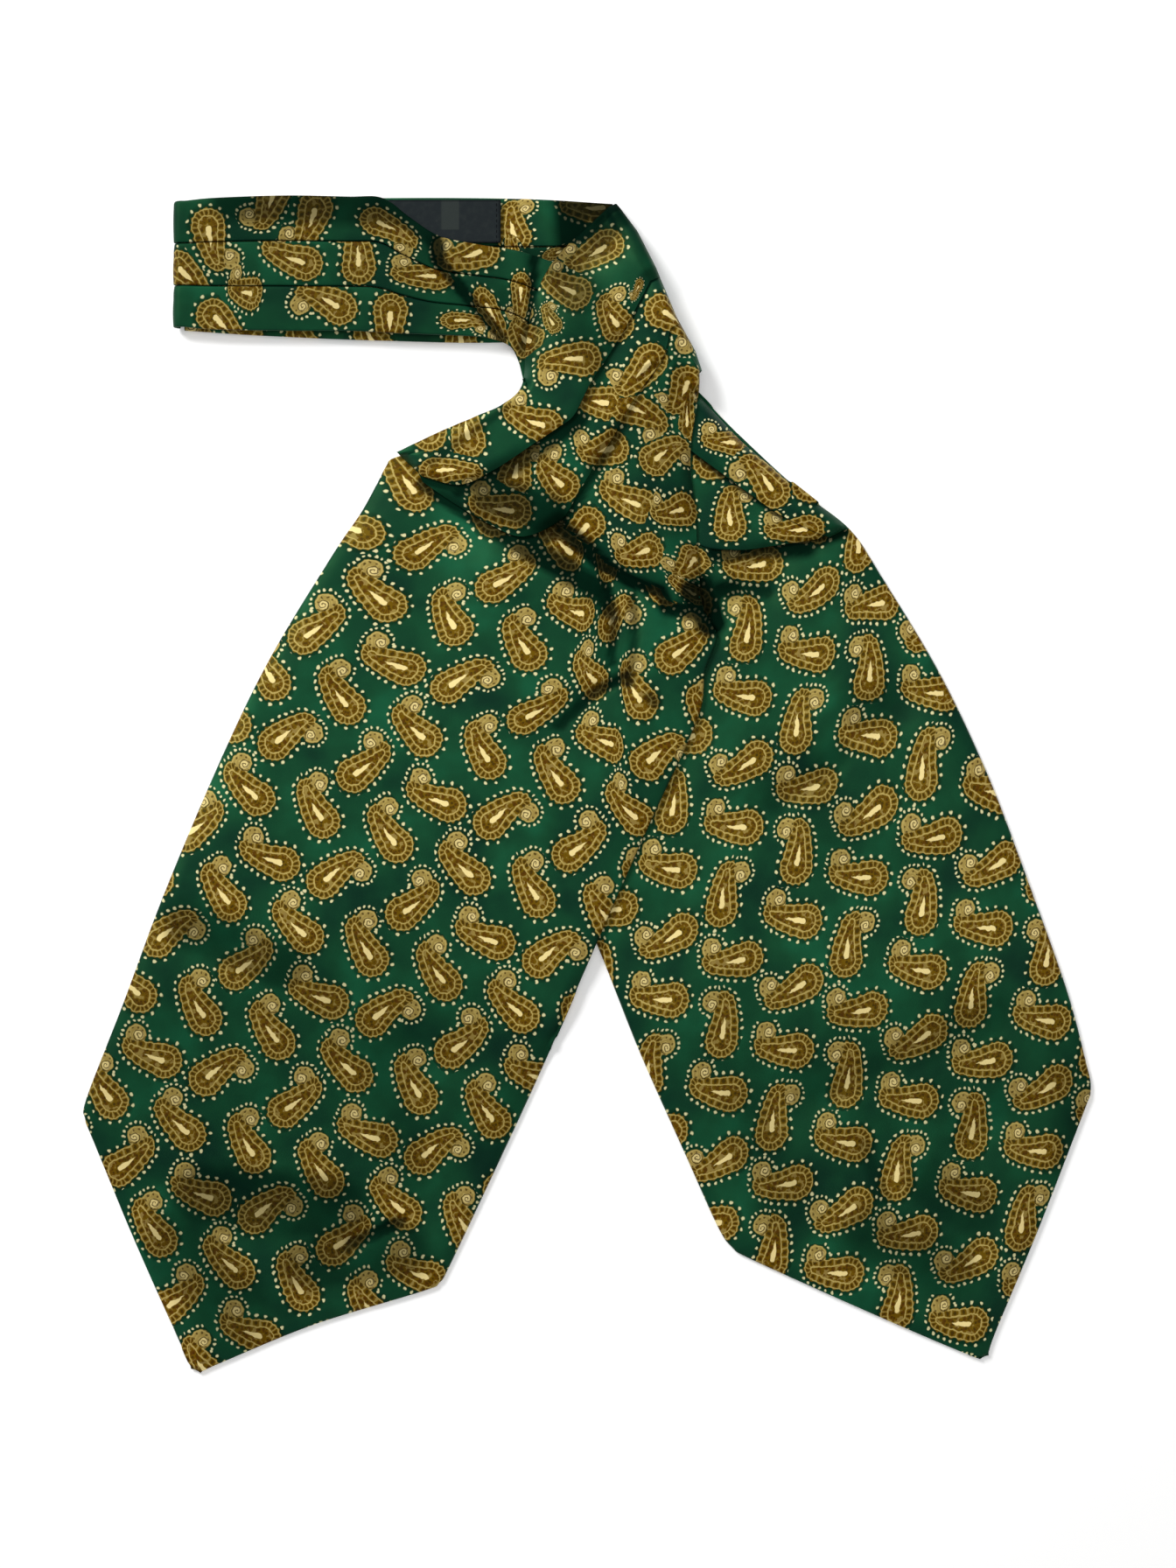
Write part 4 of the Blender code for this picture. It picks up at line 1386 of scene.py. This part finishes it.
LEFT_PLEAT_OUTER = rows_of(Rung, [
    (8.2, 228.3, 24.5, 197.8),
    (-0.5, 220, 20, 189),
    (-11.5, 209.5, 13.5, 177),
    (-20.5, 193, 7, 166.5),
    (-24.5, 173.5, 0.5, 156.5),
    (-26, 157, -5.5, 145),
    (-33.5, 149.5, -12, 140),
    (-45, 144.5, -22.5, 133),
    (-57, 139.5, -36.5, 124),
    (-68, 134.5, -50.5, 118),
    (-75.5, 131, -65.5, 121.5),
])
LEFT_PLEAT_INNER = rows_of(Rung, [
    (22, 201.2, 32.5, 179.2),
    (11, 187, 30, 169),
    (3, 175, 25, 161),
    (-5, 163, 17.5, 150.5),
    (-13, 152, 11, 138.5),
    (-23, 143, 3, 126),
    (-31, 137, -4, 114.5),
    (-38, 133, -10.5, 104.5),
    (-46, 130.5, -25.5, 97.5),
    (-54, 128.5, -39, 102.5),
    (-62, 127.5, -53, 111),
    (-69, 127.5, -65.5, 119.5),
])
# Creases of the lower pleat with the shade painted in them; rows of depth 0 paint shade alone.
PLEAT_LOWER_CREASES_AND_SHADE = rows_of(Crease, [
    (-55, 119, -22, 112, 0, 0.4, 9),
    (-38, 114, -16, 106, 0, 0.84, 10),
    (20, 188, 7, 165, 0, 0.35, 1.8),
    (7, 165, -4.5, 144, 0.3, 0.6, 2.2),
    (-4.5, 144, -22.5, 131.5, 0.4, 0.9, 5.5, 3),
    (-22.5, 131.5, -36.5, 122.5, 0.4, 0.9, 6, 3.2),
    (-36.5, 122.5, -50.5, 116.5, 0.4, 0.9, 4.5, 3),
    (-50.5, 116.5, -65.5, 120.5, 0.4, 0.8, 2.4),
])
# Creases of the upper pleat with the shade painted in them; rows of depth 0 paint shade alone.
PLEAT_UPPER_CREASES_AND_SHADE = rows_of(Crease, [
    (10, 231, -4, 217.5, 0.8, 0.95, 6),
    (14, 229, 4, 217, 0.6, 0.75, 8),
    (14, 228, 28, 203, 0, 0.75, 6),
    (28, 203, 33, 191, 0, 0.55, 4.5),
    (-22, 190, -20, 180, 0, 0.6, 3),
    (-14, 205, 4, 213, 0, 0.6, 6, 7),
    (-10, 204, -2, 192, 0, 0.65, 10, 11),
    (-7, 186, 4, 170, 0, 0.42, 12),
    (-24, 186, -22, 170, 0, 0.45, 5, 6),
    (-33, 147.5, -62, 126.5, 0, 0.5, 2),
])
left_rungs = blade_rungs(LEFT, LEFT_SECTIONS)
left_back_rungs = blade_rungs(LEFT, [row for row in LEFT_SECTIONS if row.up <= LEFT_BACK_TOP])
left_back = back_panel("left_blade_back", "blade_left_back", left_back_rungs, left_print)
left_front = laid_panel(
    "left_blade_front", ["blade_left_front"], left_rungs + [LEFT_THROAT], left_print,
    LEFT_CREASES_AND_SHADE, 11, patched=above_line(CHANNEL, SIDE_FACE, side_silk),
    carried_on=lambda grid, plan, painted_shade: turned_down(grid, plan, painted_shade, at_end=True)
)
left_inner = opening_pleat(
    "left_pleat_lower", ["left_pleat_inner"], LEFT_PLEAT_INNER, INNER_FACE,
    PLEAT_LOWER_CREASES_AND_SHADE, 21, columns=36, carried_on=turned_down, cut_from=inner_silk
)
left_outer = opening_pleat(
    "left_pleat_upper", ["left_pleat_outer", "fold_turn"], LEFT_PLEAT_OUTER, OUTER_FACE,
    PLEAT_UPPER_CREASES_AND_SHADE, 22, columns=36, carried_on=turned_down, cut_from=outer_silk
)
